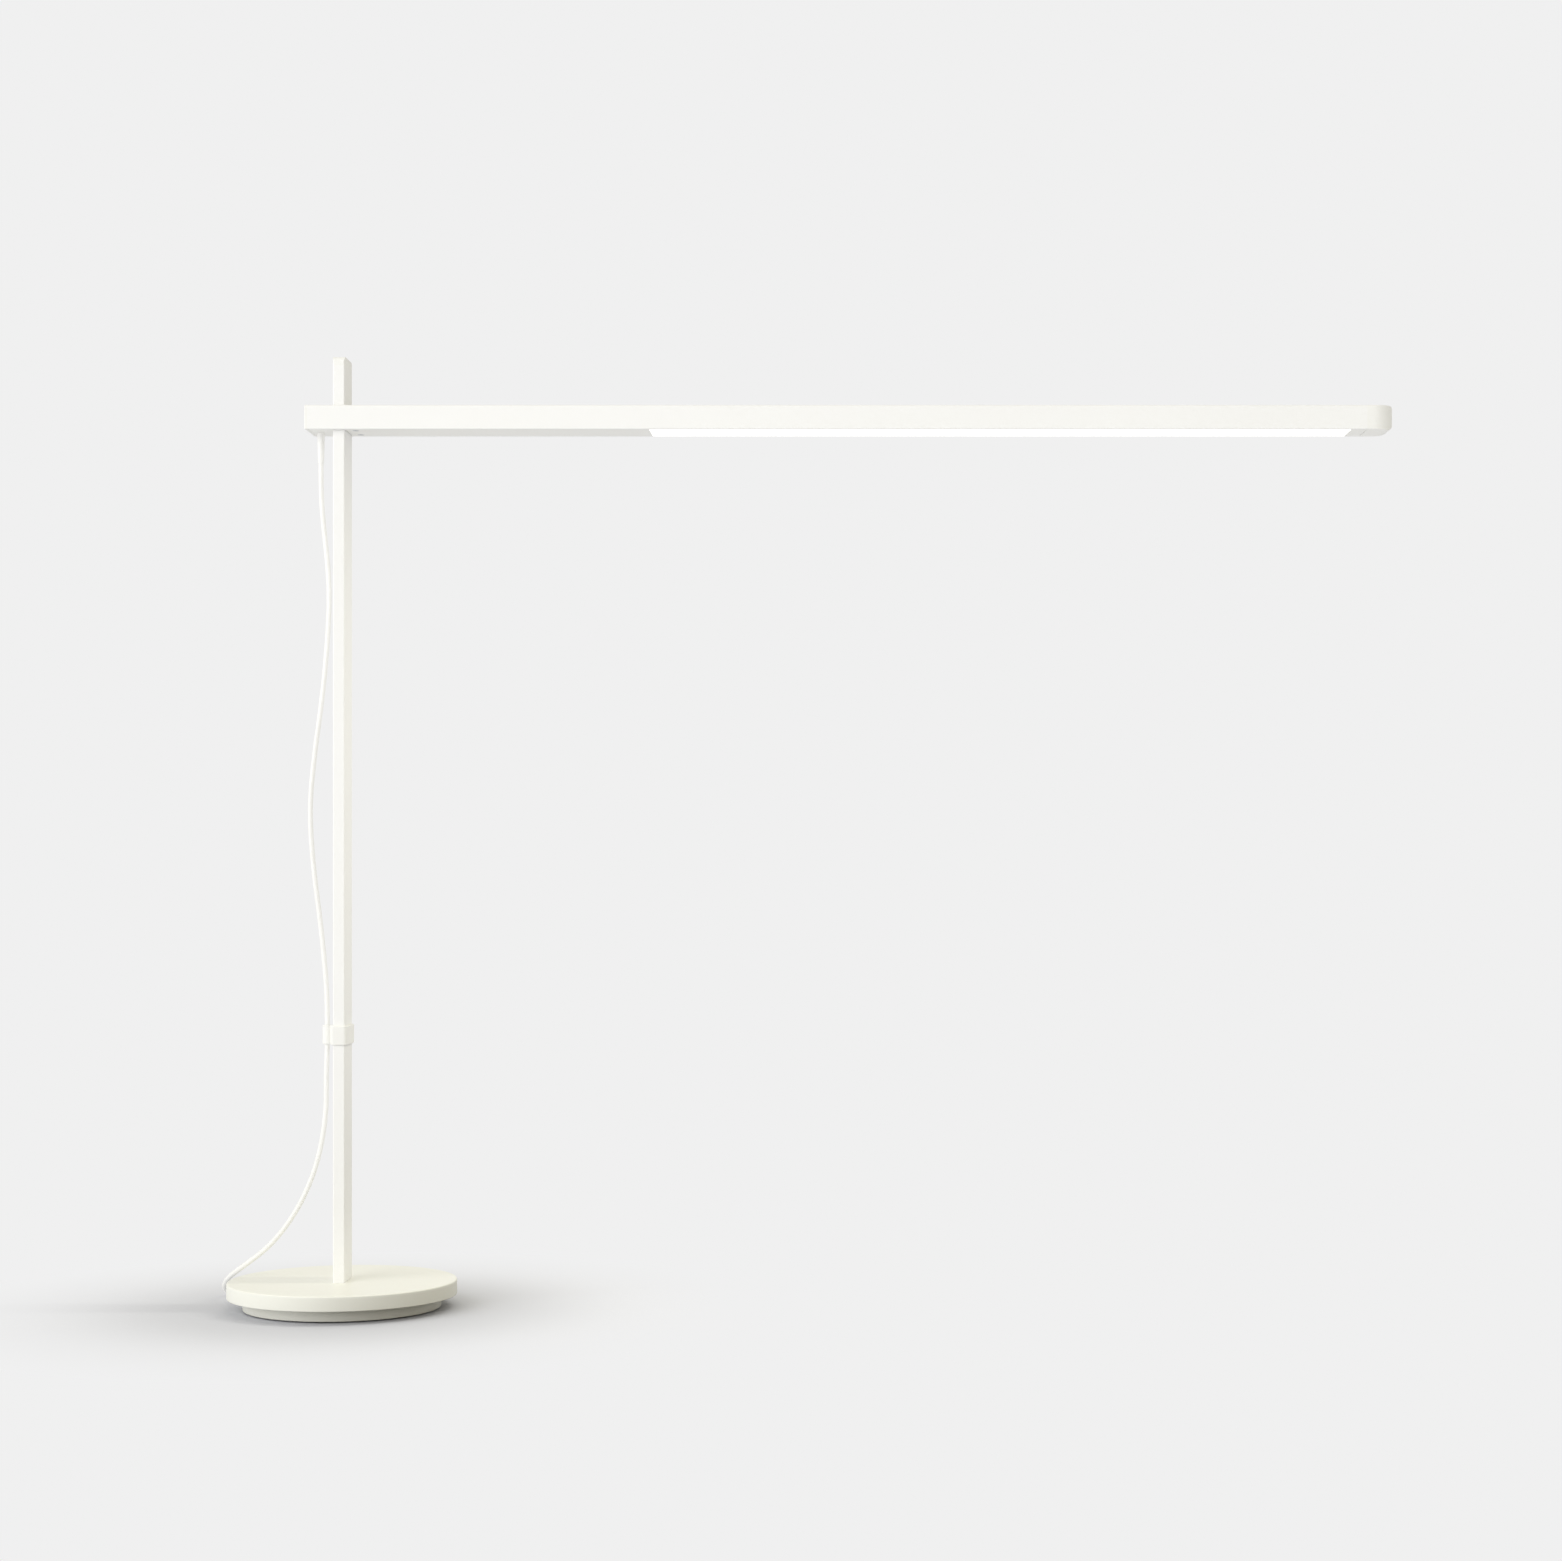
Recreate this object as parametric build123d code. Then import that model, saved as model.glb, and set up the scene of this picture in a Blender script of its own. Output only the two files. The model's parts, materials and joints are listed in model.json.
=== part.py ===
"""A desk lamp: a long flat light arm slides up and down a blade post on a round base that turns.

Millimetres, +Z up. The origin is on the table under the post's axis. +X runs along the arm to its tip,
and the cord hangs in the plane Y = 0, on the other side of the post.
"""

import math
import os

from build123d import *

# Foot, which stays still on the table
foot_diameter = 155.0
foot_thickness = 8.9
foot_edge_radius = 0.8
pad_diameter = 146.0
pad_thickness = 2.0
pad_proud = 0.8
pad_clearance = 0.3

# Disc, which turns on the foot
disc_diameter = 180.0
disc_thickness = 11.9
disc_upper_radius = 1.2
disc_lower_radius = 0.6
swivel_gap = 0.6

# Swivel: a shouldered bolt in a flanged bush, and a sliding ring near the rim
shoulder_diameter = 12.0
shoulder_fit = 0.05
pivot_thread_diameter = 8.0
pivot_thread_length = 6.6
pivot_head_diameter = 22.0
pivot_head_height = 2.2
pivot_recess_diameter = 26.0
pivot_head_clearance = 0.3
bush_wall = 3.0
bush_flange_diameter = 24.0
bush_flange_thickness = 0.8
washer_diameter = 20.0
washer_thickness = 0.5
washer_dish = 0.3
washer_clearance = 0.02
glide_diameter = 140.0
glide_width = 8.0
glide_sunk = 1.4
thread_clearance = 0.05

# Post: a flat tube with two screw ports down its length
post_width = 9.4
post_depth = 32.0
post_corner_radius = 1.0
post_wall = 1.5
post_rise = 729.8
post_seat_depth = 2.4
post_seat_clearance = 0.1
post_cap_height = 7.0
post_cap_radius = 4.0
spigot_length = 6.0
spigot_clearance = 0.15
port_web = 1.2
post_screw_diameter = 5.0
post_screw_spacing = 21.0
post_screw_grip = 16.0
post_screw_head_diameter = 8.5
post_screw_head_height = 4.0
screw_hole_clearance = 0.2
screw_head_clearance = 0.4

# Stop pin: pressed through the post's rear wall, it holds the slider down at the arm's highest place
stop_pin_diameter = 2.4
stop_pin_proud = 1.2
stop_pin_gap = 0.05
stop_pin_room = 0.3

# Cable clip: a sleeve round the post with an open eye for the cord
clip_rise = 187.2
clip_height = 15.1
clip_wall = 1.6
clip_clearance = 0.12
clip_eye_reach = 7.3
clip_eye_wall = 1.5
clip_eye_clearance = 0.2
clip_eye_slit = 3.0
clip_edge_radius = 0.5

# Arm: an upside-down channel with a cap at each end
arm_length = 858.1
arm_tail = 26.5
arm_depth = 40.0
arm_height = 19.2
arm_drop = 38.7
arm_top_wall = 1.6
arm_side_wall = 2.0
arm_upper_radius = 2.0
arm_lower_radius = 0.8
slot_clearance = 0.35
rear_cap_thickness = 2.5
rear_cap_radius = 0.75
nose_length = 22.0
nose_corner_radius = 17.0
nose_upper_radius = 3.0
nose_lower_radius = 6.0
peg_length = 2.0
peg_width = 4.0
peg_clearance = 0.15

# Ribs inside the channel: one pair grips the underside strips, one pair carries the boards
snap_rib_rise = 3.4
snap_rib_height = 1.0
snap_rib_reach = 0.8
shelf_height = 1.2
shelf_reach = 2.0
board_thickness = 1.6
board_clearance = 0.1

# Underside strips, end to end: rear cover, diffuser and nose cover
diffuser_start = 245.0
nose_cover_length = 12.0
diffuser_thickness = 2.0
cover_thickness = 1.6
strip_clearance = 0.2
strip_end_gap = 0.3
leg_thickness = 1.2
leg_clearance = 0.1
barb_height = 1.2

# Slider: a block that runs on the post, with a fixed and a sprung brake pad
guide_clearance = 0.25
slider_clearance = 0.1
slider_rear_wall = 3.0
slider_front_wall = 9.0
brake_pad_thickness = 1.6
brake_pad_width = 24.0
brake_pad_height = 9.6
brake_pad_gap = 0.05
brake_pad_clearance = 0.1
brake_spring_rise = 1.8
brake_spring_thickness = 0.4
brake_spring_width = 6.0
brake_spring_length = 22.0
brake_spring_clearance = 0.05
slider_screw_diameter = 3.0
slider_screw_length = 9.0
slider_screw_head_diameter = 5.4
slider_screw_spacing = 22.0

# Light engine and electronics in the arm
board_side_clearance = 0.3
led_board_margin = 5.0
led_pitch = 15.0
led_end_margin = 5.0
led_length = 5.6
led_width = 3.0
led_height = 0.9
reflector_wall = 0.6
reflector_top_width = 18.0
reflector_window_margin = 1.5
reflector_clearance = 0.4
driver_start = 60.0
driver_length = 140.0
socket_place = 2.0
socket_length = 8.0
socket_depth = 9.0
transformer_place = 28.0
transformer_length = 24.0
transformer_width = 20.0
transformer_height = 10.0
can_place = 61.0
can_length = 18.0
can_diameter = 8.0
can_spacing = 14.0
choke_place = 85.5
choke_diameter = 13.0
choke_hole = 5.0
choke_height = 8.0
chip_place = 104.0
chip_length = 10.0
chip_width = 8.0
chip_height = 1.7
touch_board_start = 212.0
touch_board_length = 22.0
lead_thickness = 0.4
flat_lead_height = 7.0
flat_lead_rise = 6.6
link_lead_width = 4.0
link_lead_lap = 8.0
link_lead_offset = 1.5
flat_lead_room = 0.3
lead_clearance = 0.05

# Cord, its grommet in the arm, and its plug
cord_diameter = 4.0
bend_share = 0.45
grommet_behind_post = 17.0
grommet_length = 24.0
grommet_root_diameter = 5.8
grommet_tip_diameter = 4.7
grommet_flange_diameter = 8.6
grommet_flange_thickness = 1.5
grommet_clearance = 0.1
inlet_bend_rise = 8.0
inlet_bend_radius = 5.0
terminal_width = 9.5
terminal_depth = 11.0
terminal_height = 10.0
terminal_offset = 6.0
plug_width = 35.3
plug_thickness = 13.7
plug_length = 37.0
plug_corner_radius = 5.0
plug_relief_length = 22.0
plug_relief_root_diameter = 9.0
plug_relief_tip_diameter = 5.4
plug_shoulder_length = 14.0
plug_pin_diameter = 4.0
plug_pin_length = 19.0
plug_pin_spacing = 18.6
tail_length = 18.0

# Coil of spare cord, piled in two layers behind the base
coil_center_x = -48.0
coil_center_y = 118.0
coil_outer_radius = 31.0
coil_step = 4.5
coil_whole_turns = 6
coil_start_angle = 146.5
coil_end_angle = 60.0
coil_lift = 0.75
coil_end_run = 4.0
drop_end_run = 22.0
tie_thickness = 0.5
tie_width = 8.0
tie_clearance = 0.2
tie_angle = 250.0
tie_corner_radius = 2.0

# Heights above the table
foot_bottom = pad_proud
foot_top = foot_bottom + foot_thickness
disc_bottom = foot_top + swivel_gap
disc_top = disc_bottom + disc_thickness
post_bottom = disc_top - post_seat_depth
post_top = disc_top + post_rise
post_cap_bottom = post_top - post_cap_height
clip_bottom = disc_top + clip_rise
clip_top = clip_bottom + clip_height
arm_top = post_top - arm_drop
arm_bottom = arm_top - arm_height

# Places along and inside the arm, from the post's axis and from the arm's underside
channel_start = -arm_tail + rear_cap_thickness
channel_end = arm_length - arm_tail - nose_length
inner_width = arm_depth - 2 * arm_side_wall
inner_height = arm_height - arm_top_wall
shelf_top = inner_height - board_thickness - board_clearance
shelf_bottom = shelf_top - shelf_height
board_bottom = shelf_top + board_clearance / 2
board_width = inner_width - 2 * board_side_clearance
nose_cover_end = channel_end - strip_end_gap
nose_cover_start = nose_cover_end - nose_cover_length
diffuser_end = nose_cover_start - strip_end_gap
led_board_start = diffuser_start + led_board_margin
led_board_end = diffuser_end - led_board_margin
led_span = led_board_end - led_board_start - 2 * led_end_margin - led_length
led_count = int(led_span / led_pitch) + 1
driver_end = driver_start + driver_length
pad_back = post_width / 2 + brake_pad_gap + brake_pad_thickness
slider_rear = -pad_back - slider_rear_wall
slider_front = pad_back + brake_spring_rise + slider_front_wall
slider_screw_x = slider_front - slider_front_wall / 2
slider_top = shelf_bottom - slider_clearance
stop_pin_end = -post_width / 2 - stop_pin_proud
stop_pin_height = arm_bottom + slider_top + stop_pin_gap + stop_pin_diameter / 2
clip_eye_x = -post_width / 2 - clip_eye_reach
coil_turns = coil_whole_turns + (coil_start_angle - coil_end_angle) / 360

# Route of the cord, chosen point by point: down beside the post, over the rim and round to the coil
hang_route = [
    (-17.0, 0.0, 670.1),
    (-17.0, 0.0, 652.0),
    (-15.9, 0.0, 628.0),
    (-12.0, 0.0, 594.0),
    (-10.1, 0.0, 564.0),
    (-12.4, 0.0, 520.0),
    (-16.7, 0.0, 478.0),
    (-22.4, 0.0, 438.0),
    (-26.3, 0.0, 396.0),
    (-23.3, 0.0, 350.0),
    (-17.4, 0.0, 306.0),
    (-13.6, 0.0, 268.0),
    (-12.0, 0.0, 243.0),
    (-12.0, 0.0, 224.5),
]
drop_route = [
    (-12.0, 0.0, 224.5),
    (-12.0, 0.0, 205.0),
    (-13.0, 0.0, 182.0),
    (-12.8, 0.0, 155.0),
    (-17.9, 0.0, 122.0),
    (-28.0, 1.0, 93.0),
    (-43.0, 4.0, 67.2),
    (-61.0, 10.0, 46.6),
    (-82.0, 20.0, 32.2),
    (-100.5, 36.0, 18.0),
    (-106.5, 54.0, 7.6),
    (-104.5, 73.0, 2.5),
    (-98.0, 94.0, 2.1),
]


def block(x, y, z):
    """A box given by its low and high value along each axis."""
    spans = (x, y, z)
    middle = [(low + high) / 2 for low, high in spans]
    return Pos(*middle) * Box(*[high - low for low, high in spans])


def turned(*steps):
    """Cylinders and cones stacked on the Z axis, each given as (low z, high z, low diameter, high diameter)."""
    outline = [(0, steps[0][0])]
    for low, high, low_diameter, high_diameter in steps:
        for corner in ((low_diameter / 2, low), (high_diameter / 2, high)):
            if corner != outline[-1]:
                outline.append(corner)
    outline.append((0, steps[-1][1]))
    return revolve(make_face(Plane.XZ * Polyline(*outline, close=True)), Axis.Z)


def ring(outer, inner, low, high):
    """A plain ring on the Z axis."""
    return Pos(0, 0, (low + high) / 2) * (
        Cylinder(outer / 2, high - low) - Cylinder(inner / 2, high - low)
    )


def pair(shape, spacing):
    """The shape twice, half the spacing to each side along Y."""
    return [Pos(0, side * spacing / 2, 0) * shape for side in (-1, 1)]


def post_prism(grow, low, high):
    """The post's outline, larger all round by grow, drawn up from low to high."""
    outline = RectangleRounded(
        post_width + 2 * grow, post_depth + 2 * grow, post_corner_radius + grow
    )
    return extrude(Pos(0, 0, low) * outline, high - low)


def along_arm(section, start, end):
    """A section in (across, up from the arm's underside) drawn along the arm from start to end."""
    return Pos(start, 0, arm_bottom) * extrude(Plane.YZ * section, end - start)


def in_arm(x, y, z):
    """A box in the arm, with its heights taken from the arm's underside."""
    return Pos(0, 0, arm_bottom) * block(x, y, z)


def span(y_low, y_high, z_low, z_high):
    """A rectangle of a section across the arm."""
    return Pos((y_low + y_high) / 2, (z_low + z_high) / 2) * Rectangle(y_high - y_low, z_high - z_low)


def both_sides(y_low, y_high, z_low, z_high):
    """The same rectangle on each side of an arm section."""
    return span(y_low, y_high, z_low, z_high) + span(-y_high, -y_low, z_low, z_high)


def make_foot():
    """The pad, the plate that stands on it, the bush and the ring that the disc slides on."""
    pad = turned((0, pad_thickness, pad_diameter, pad_diameter))
    plate = Pos(0, 0, foot_bottom + foot_thickness / 2) * Cylinder(foot_diameter / 2, foot_thickness)
    plate = fillet(plate.edges().group_by(Axis.Z)[0], foot_edge_radius)
    bush_diameter = shoulder_diameter + 2 * shoulder_fit + 2 * bush_wall
    plate -= turned(
        (foot_bottom, pad_thickness, pad_diameter + 2 * pad_clearance, pad_diameter + 2 * pad_clearance),
        (pad_thickness, flange_seat, pivot_recess_diameter, pivot_recess_diameter),
        (flange_seat, foot_top, bush_diameter, bush_diameter),
    )
    plate -= ring(glide_diameter, glide_diameter - 2 * glide_width, foot_top - glide_sunk, foot_top)
    bush = turned(
        (flange_seat - bush_flange_thickness, flange_seat, bush_flange_diameter, bush_flange_diameter),
        (flange_seat, foot_top, bush_diameter, bush_diameter),
    )
    bore = shoulder_diameter / 2 + shoulder_fit
    bush -= Pos(0, 0, foot_top / 2) * Cylinder(bore, 2 * foot_top)
    glide = ring(glide_diameter, glide_diameter - 2 * glide_width, foot_top - glide_sunk, disc_bottom)
    return {"foot_pad": pad, "foot_plate": plate, "swivel_bush": bush, "glide_ring": glide}


def make_pivot():
    """The bolt that holds the disc down on the foot, and the dished washer under its head."""
    bolt = turned(
        (pivot_head_bottom, pivot_head_top, pivot_head_diameter, pivot_head_diameter),
        (pivot_head_top, disc_bottom, shoulder_diameter, shoulder_diameter),
        (disc_bottom, disc_bottom + pivot_thread_length, pivot_thread_diameter, pivot_thread_diameter),
    )
    inner = shoulder_diameter / 2 + shoulder_fit
    outer = washer_diameter / 2
    high = pivot_head_top + washer_dish
    dish = Polyline(
        (inner, high),
        (outer, pivot_head_top),
        (outer, pivot_head_top + washer_thickness),
        (inner, high + washer_thickness),
        close=True,
    )
    washer = revolve(make_face(Plane.XZ * dish), Axis.Z)
    return {"pivot_bolt": bolt, "pivot_washer": washer}


def make_disc():
    """The turning disc, with the post's seat on top and the screw and pivot holes from below."""
    disc = Pos(0, 0, disc_bottom + disc_thickness / 2) * Cylinder(disc_diameter / 2, disc_thickness)
    disc = fillet(disc.edges().group_by(Axis.Z)[-1], disc_upper_radius)
    disc = fillet(disc.edges().group_by(Axis.Z)[0], disc_lower_radius)
    disc -= post_prism(post_seat_clearance, post_bottom, disc_top)
    thread = pivot_thread_diameter + 2 * thread_clearance
    disc -= turned((disc_bottom, disc_bottom + pivot_thread_length, thread, thread))
    hole = post_screw_diameter + 2 * screw_hole_clearance
    head = post_screw_head_diameter + 2 * screw_head_clearance
    stepped = turned(
        (disc_bottom, disc_bottom + post_screw_head_height, head, head),
        (disc_bottom + post_screw_head_height, disc_top, hole, hole),
    )
    disc -= pair(stepped, post_screw_spacing)
    return {"base_disc": disc}


def post_cavity():
    """Section of the post's middle cavity, between the two screw ports."""
    port = post_screw_diameter / 2 + thread_clearance
    return Rectangle(
        post_width - 2 * post_wall, post_screw_spacing - 2 * port - 2 * port_web
    )


def make_post():
    """The flat post, its cap with two rounded corners, its screws, and the pin that stops the slider."""
    port = post_screw_diameter / 2 + thread_clearance
    end_low = post_screw_spacing / 2 + port + port_web
    end_cavity = Rectangle(post_width - 2 * post_wall, post_depth / 2 - post_wall - end_low)
    end_middle = (post_depth / 2 - post_wall + end_low) / 2
    hollows = post_cavity() + pair(end_cavity, 2 * end_middle) + pair(Circle(port), post_screw_spacing)
    post = post_prism(0, post_bottom, post_cap_bottom)
    post -= extrude(Pos(0, 0, post_bottom) * hollows, post_cap_bottom - post_bottom)
    side = Pos(0, post_top - post_cap_height / 2) * Rectangle(post_depth, post_cap_height)
    side = fillet(side.vertices().group_by(Axis.Y)[-1], post_cap_radius)
    cap = post_prism(0, post_cap_bottom, post_top)
    cap &= extrude(Plane.YZ * side, post_width, both=True)
    spigot = offset(post_cavity(), -spigot_clearance, kind=Kind.INTERSECTION)
    cap += extrude(Pos(0, 0, post_cap_bottom - spigot_length) * spigot, spigot_length)
    screw = turned(
        (disc_bottom, head_top, post_screw_head_diameter, post_screw_head_diameter),
        (head_top, post_bottom + post_screw_grip, post_screw_diameter, post_screw_diameter),
    )
    screws = Compound(children=pair(screw, post_screw_spacing))
    pin_length = post_width / 2 - post_wall - stop_pin_end
    pin = Rot(0, 90, 0) * Cylinder(stop_pin_diameter / 2, pin_length)
    pin = Pos(stop_pin_end + pin_length / 2, 0, stop_pin_height) * pin
    return {"post": post - pin, "post_cap": cap, "post_screws": screws, "stop_pin": pin}


def make_clip():
    """The cable clip: a sleeve that grips the post, and an eye that opens to the back for the cord."""
    eye_hole = cord_diameter / 2 + clip_eye_clearance
    sleeve = RectangleRounded(
        post_width + 2 * clip_clearance + 2 * clip_wall,
        post_depth + 2 * clip_clearance + 2 * clip_wall,
        post_corner_radius + clip_clearance + clip_wall,
    )
    eye = Pos(clip_eye_x, 0) * Circle(eye_hole + clip_eye_wall)
    web = Pos(clip_eye_x / 2, 0) * Rectangle(-clip_eye_x, 2 * clip_eye_wall + eye_hole)
    clip = extrude(Pos(0, 0, clip_bottom) * (sleeve + eye + web), clip_height)
    rims = clip.edges().group_by(Axis.Z)[-1] + clip.edges().group_by(Axis.Z)[0]
    clip = chamfer(rims, clip_edge_radius)
    clip -= post_prism(clip_clearance, clip_bottom, clip_top)
    clip -= extrude(Pos(clip_eye_x, 0, clip_bottom) * Circle(eye_hole), clip_height)
    slit_end = eye_hole + 2 * clip_eye_wall
    clip -= block(
        (clip_eye_x - clip_eye_slit / 2, clip_eye_x + clip_eye_slit / 2),
        (0, slit_end),
        (clip_bottom, clip_top),
    )
    return {"cable_clip": clip}


def arm_outline():
    """The arm's outer section, round along the top and eased along the bottom."""
    outline = span(-arm_depth / 2, arm_depth / 2, 0, arm_height)
    outline = fillet(outline.vertices().group_by(Axis.Y)[-1], arm_upper_radius)
    return fillet(outline.vertices().group_by(Axis.Y)[0], arm_lower_radius)


def post_way():
    """The room that the post takes as it passes through the arm's walls."""
    return post_prism(slot_clearance, arm_bottom, arm_top)


def make_channel():
    """The arm's extruded channel, with its ribs, its shelves and the slot for the post and its pin."""
    wall = inner_width / 2
    section = arm_outline() - span(-wall, wall, 0, inner_height)
    section += both_sides(wall - snap_rib_reach, wall, snap_rib_rise, snap_rib_rise + snap_rib_height)
    section += both_sides(wall - shelf_reach, wall, shelf_bottom, shelf_top)
    channel = along_arm(section, channel_start, channel_end) - post_way()
    pin_side = stop_pin_diameter / 2 + stop_pin_room
    channel -= in_arm((stop_pin_end - stop_pin_room, 0), (-pin_side, pin_side), (inner_height, arm_height))
    return {"arm_channel": channel}


def make_rear_cap():
    """The flat cap at the arm's rear end, with two pegs that locate it in the channel."""
    cap = along_arm(arm_outline(), -arm_tail, channel_start)
    cap = fillet(cap.edges().group_by(Axis.X)[0], rear_cap_radius)
    peg_side = inner_width / 2 - shelf_reach - peg_clearance
    for side in (-1, 1):
        peg = sorted((side * peg_side, side * (peg_side - peg_width)))
        heights = (cover_thickness + peg_clearance, shelf_bottom - peg_clearance)
        cap += in_arm((channel_start, channel_start + peg_length), peg, heights)
    return {"rear_cap": cap}


def make_nose_cap():
    """The cap at the arm's tip: round in plan, and rounded again under and over its end."""
    end = channel_end + nose_length
    plan = Pos((channel_end + end) / 2, 0) * Rectangle(nose_length, arm_depth)
    plan = fillet(plan.vertices().group_by(Axis.X)[-1], nose_corner_radius)
    nose = extrude(Pos(0, 0, arm_bottom) * plan, arm_height)
    side = Pos((channel_end + end) / 2, arm_bottom + arm_height / 2) * Rectangle(nose_length, arm_height)
    tip = side.vertices().group_by(Axis.X)[-1].sort_by(Axis.Y)
    side = fillet(tip[0], nose_lower_radius)
    upper = side.vertices().group_by(Axis.Y)[-1].sort_by(Axis.X)[-1]
    side = fillet(upper, nose_upper_radius)
    nose &= extrude(Plane.XZ * side, arm_depth, both=True)
    nose &= along_arm(arm_outline(), channel_end, end)
    peg_side = inner_width / 2 - shelf_reach - peg_clearance
    heights = (cover_thickness + peg_clearance, shelf_bottom - peg_clearance)
    nose += in_arm((channel_end - peg_length, channel_end), (-peg_side + peg_width, peg_side - peg_width), heights)
    return {"nose_cap": nose}


def snap_strip(thickness, start, end, legs_start, legs_end):
    """An underside strip: a flat plate with two barbed legs that click over the channel's snap ribs."""
    half = inner_width / 2 - strip_clearance
    leg = inner_width / 2 - snap_rib_reach - leg_clearance
    barb = snap_rib_rise + snap_rib_height + leg_clearance
    legs = both_sides(leg - leg_thickness, leg, thickness, barb + barb_height)
    legs += both_sides(leg, half, barb, barb + barb_height)
    return along_arm(span(-half, half, 0, thickness), start, end) + along_arm(legs, legs_start, legs_end)


def make_strips():
    """The three strips that close the arm's underside. The rear one lets the post and the cord through."""
    rear_end = diffuser_start - strip_end_gap
    rear = snap_strip(cover_thickness, channel_start + strip_end_gap, rear_end, slider_front + strip_end_gap, rear_end)
    rear -= post_way()
    neck = grommet_root_diameter + 2 * grommet_clearance
    rear -= Pos(-grommet_behind_post, 0, arm_bottom) * turned((0, cover_thickness, neck, neck))
    hole = slider_screw_diameter + 2 * screw_hole_clearance
    head = slider_screw_head_diameter + 2 * screw_hole_clearance
    sunk = Pos(slider_screw_x, 0, arm_bottom) * turned((0, cover_thickness, head, hole))
    rear -= pair(sunk, slider_screw_spacing)
    nose = snap_strip(
        cover_thickness, nose_cover_start, nose_cover_end, nose_cover_start, nose_cover_end - peg_length
    )
    diffuser = snap_strip(diffuser_thickness, diffuser_start, diffuser_end, diffuser_start, diffuser_end)
    return {"rear_cover": rear, "nose_cover": nose, "diffuser": diffuser}


def make_slider():
    """The block that guides the arm on the post, with its pads, leaf spring and screws."""
    low = cover_thickness + slider_clearance
    high = slider_top
    half = inner_width / 2 - slider_clearance
    body = in_arm((slider_rear, slider_front), (-half, half), (low, high))
    body -= post_prism(guide_clearance, arm_bottom, arm_top)
    rib_low = snap_rib_rise - slider_clearance
    rib_high = snap_rib_rise + snap_rib_height + slider_clearance
    rib_room = both_sides(half - snap_rib_reach, half + slider_clearance, rib_low, rib_high)
    body -= along_arm(rib_room, slider_rear, slider_front)
    middle = (low + high) / 2
    pad_y = brake_pad_width / 2
    pad_z = brake_pad_height / 2
    room_y = (-pad_y - brake_pad_clearance, pad_y + brake_pad_clearance)
    room_z = (middle - pad_z - brake_pad_clearance, middle + pad_z + brake_pad_clearance)
    spring_back = pad_back + brake_spring_rise
    body -= in_arm((-pad_back, spring_back), room_y, room_z)
    lead_room = flat_lead_rise - lead_clearance, flat_lead_rise + flat_lead_height + lead_clearance
    lead_floor = inner_width / 2 - lead_thickness - flat_lead_room
    body -= in_arm((slider_rear, slider_front), (lead_floor, inner_width / 2), lead_room)
    thread = slider_screw_diameter + 2 * thread_clearance
    screw_top = slider_screw_length
    tapped = Pos(slider_screw_x, 0, arm_bottom) * turned((low, screw_top, thread, thread))
    body -= pair(tapped, slider_screw_spacing)
    face = post_width / 2 + brake_pad_gap
    pads = [
        in_arm(x, (-pad_y, pad_y), (middle - pad_z, middle + pad_z))
        for x in ((-pad_back, -face), (face, pad_back))
    ]
    crown = pad_back + brake_spring_clearance
    heel = spring_back - brake_spring_clearance - brake_spring_thickness
    half_length = brake_spring_length / 2
    arc = ThreePointArc((heel, -half_length), (crown, 0), (heel, half_length))
    back = Pos(brake_spring_thickness, 0) * arc
    leaf = make_face([arc, back, Line(arc @ 0, back @ 0), Line(arc @ 1, back @ 1)])
    spring_low = arm_bottom + middle - brake_spring_width / 2
    spring = extrude(Pos(0, 0, spring_low) * leaf, brake_spring_width)
    screw = Pos(slider_screw_x, 0, arm_bottom) * turned(
        (0, cover_thickness, slider_screw_head_diameter, slider_screw_diameter),
        (cover_thickness, screw_top, slider_screw_diameter, slider_screw_diameter),
    )
    return {
        "slider_block": body,
        "brake_pads": Compound(children=pads),
        "brake_spring": spring,
        "slider_screws": Compound(children=pair(screw, slider_screw_spacing)),
    }


def make_light():
    """The LED board in its groove, its chips, and the reflector tray with a window for each chip."""
    half = board_width / 2
    board = in_arm((led_board_start, led_board_end), (-half, half), (board_bottom, board_bottom + board_thickness))
    middle = (led_board_start + led_board_end) / 2
    places = [middle + (i - (led_count - 1) / 2) * led_pitch for i in range(led_count)]
    chip_heights = (board_bottom - led_height, board_bottom)
    chips = [
        in_arm((x - led_length / 2, x + led_length / 2), (-led_width / 2, led_width / 2), chip_heights)
        for x in places
    ]
    leg_inside = inner_width / 2 - snap_rib_reach - leg_clearance - leg_thickness
    foot = leg_inside - reflector_clearance
    top = reflector_top_width / 2
    rise = board_bottom - diffuser_thickness
    slant = reflector_wall * math.hypot(foot - top, rise) / rise
    shoulder = top - slant + reflector_wall * (foot - top) / rise
    tray = Polyline(
        (-foot, diffuser_thickness),
        (-top, board_bottom),
        (top, board_bottom),
        (foot, diffuser_thickness),
        (foot - slant, diffuser_thickness),
        (shoulder, board_bottom - reflector_wall),
        (-shoulder, board_bottom - reflector_wall),
        (slant - foot, diffuser_thickness),
        close=True,
    )
    reflector = along_arm(make_face(tray), led_board_start, led_board_end)
    window_x = led_length / 2 + reflector_window_margin
    window_y = led_width / 2 + reflector_window_margin
    window_z = (board_bottom - reflector_wall, board_bottom)
    windows = [in_arm((x - window_x, x + window_x), (-window_y, window_y), window_z) for x in places]
    reflector -= windows
    return {"led_board": board, "leds": Compound(children=chips), "reflector": reflector}


def hung_box(place, length, width, height):
    """A box under the driver board, place from the board's end, centred across it."""
    start = driver_start + place
    return in_arm((start, start + length), (-width / 2, width / 2), (board_bottom - height, board_bottom))


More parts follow.
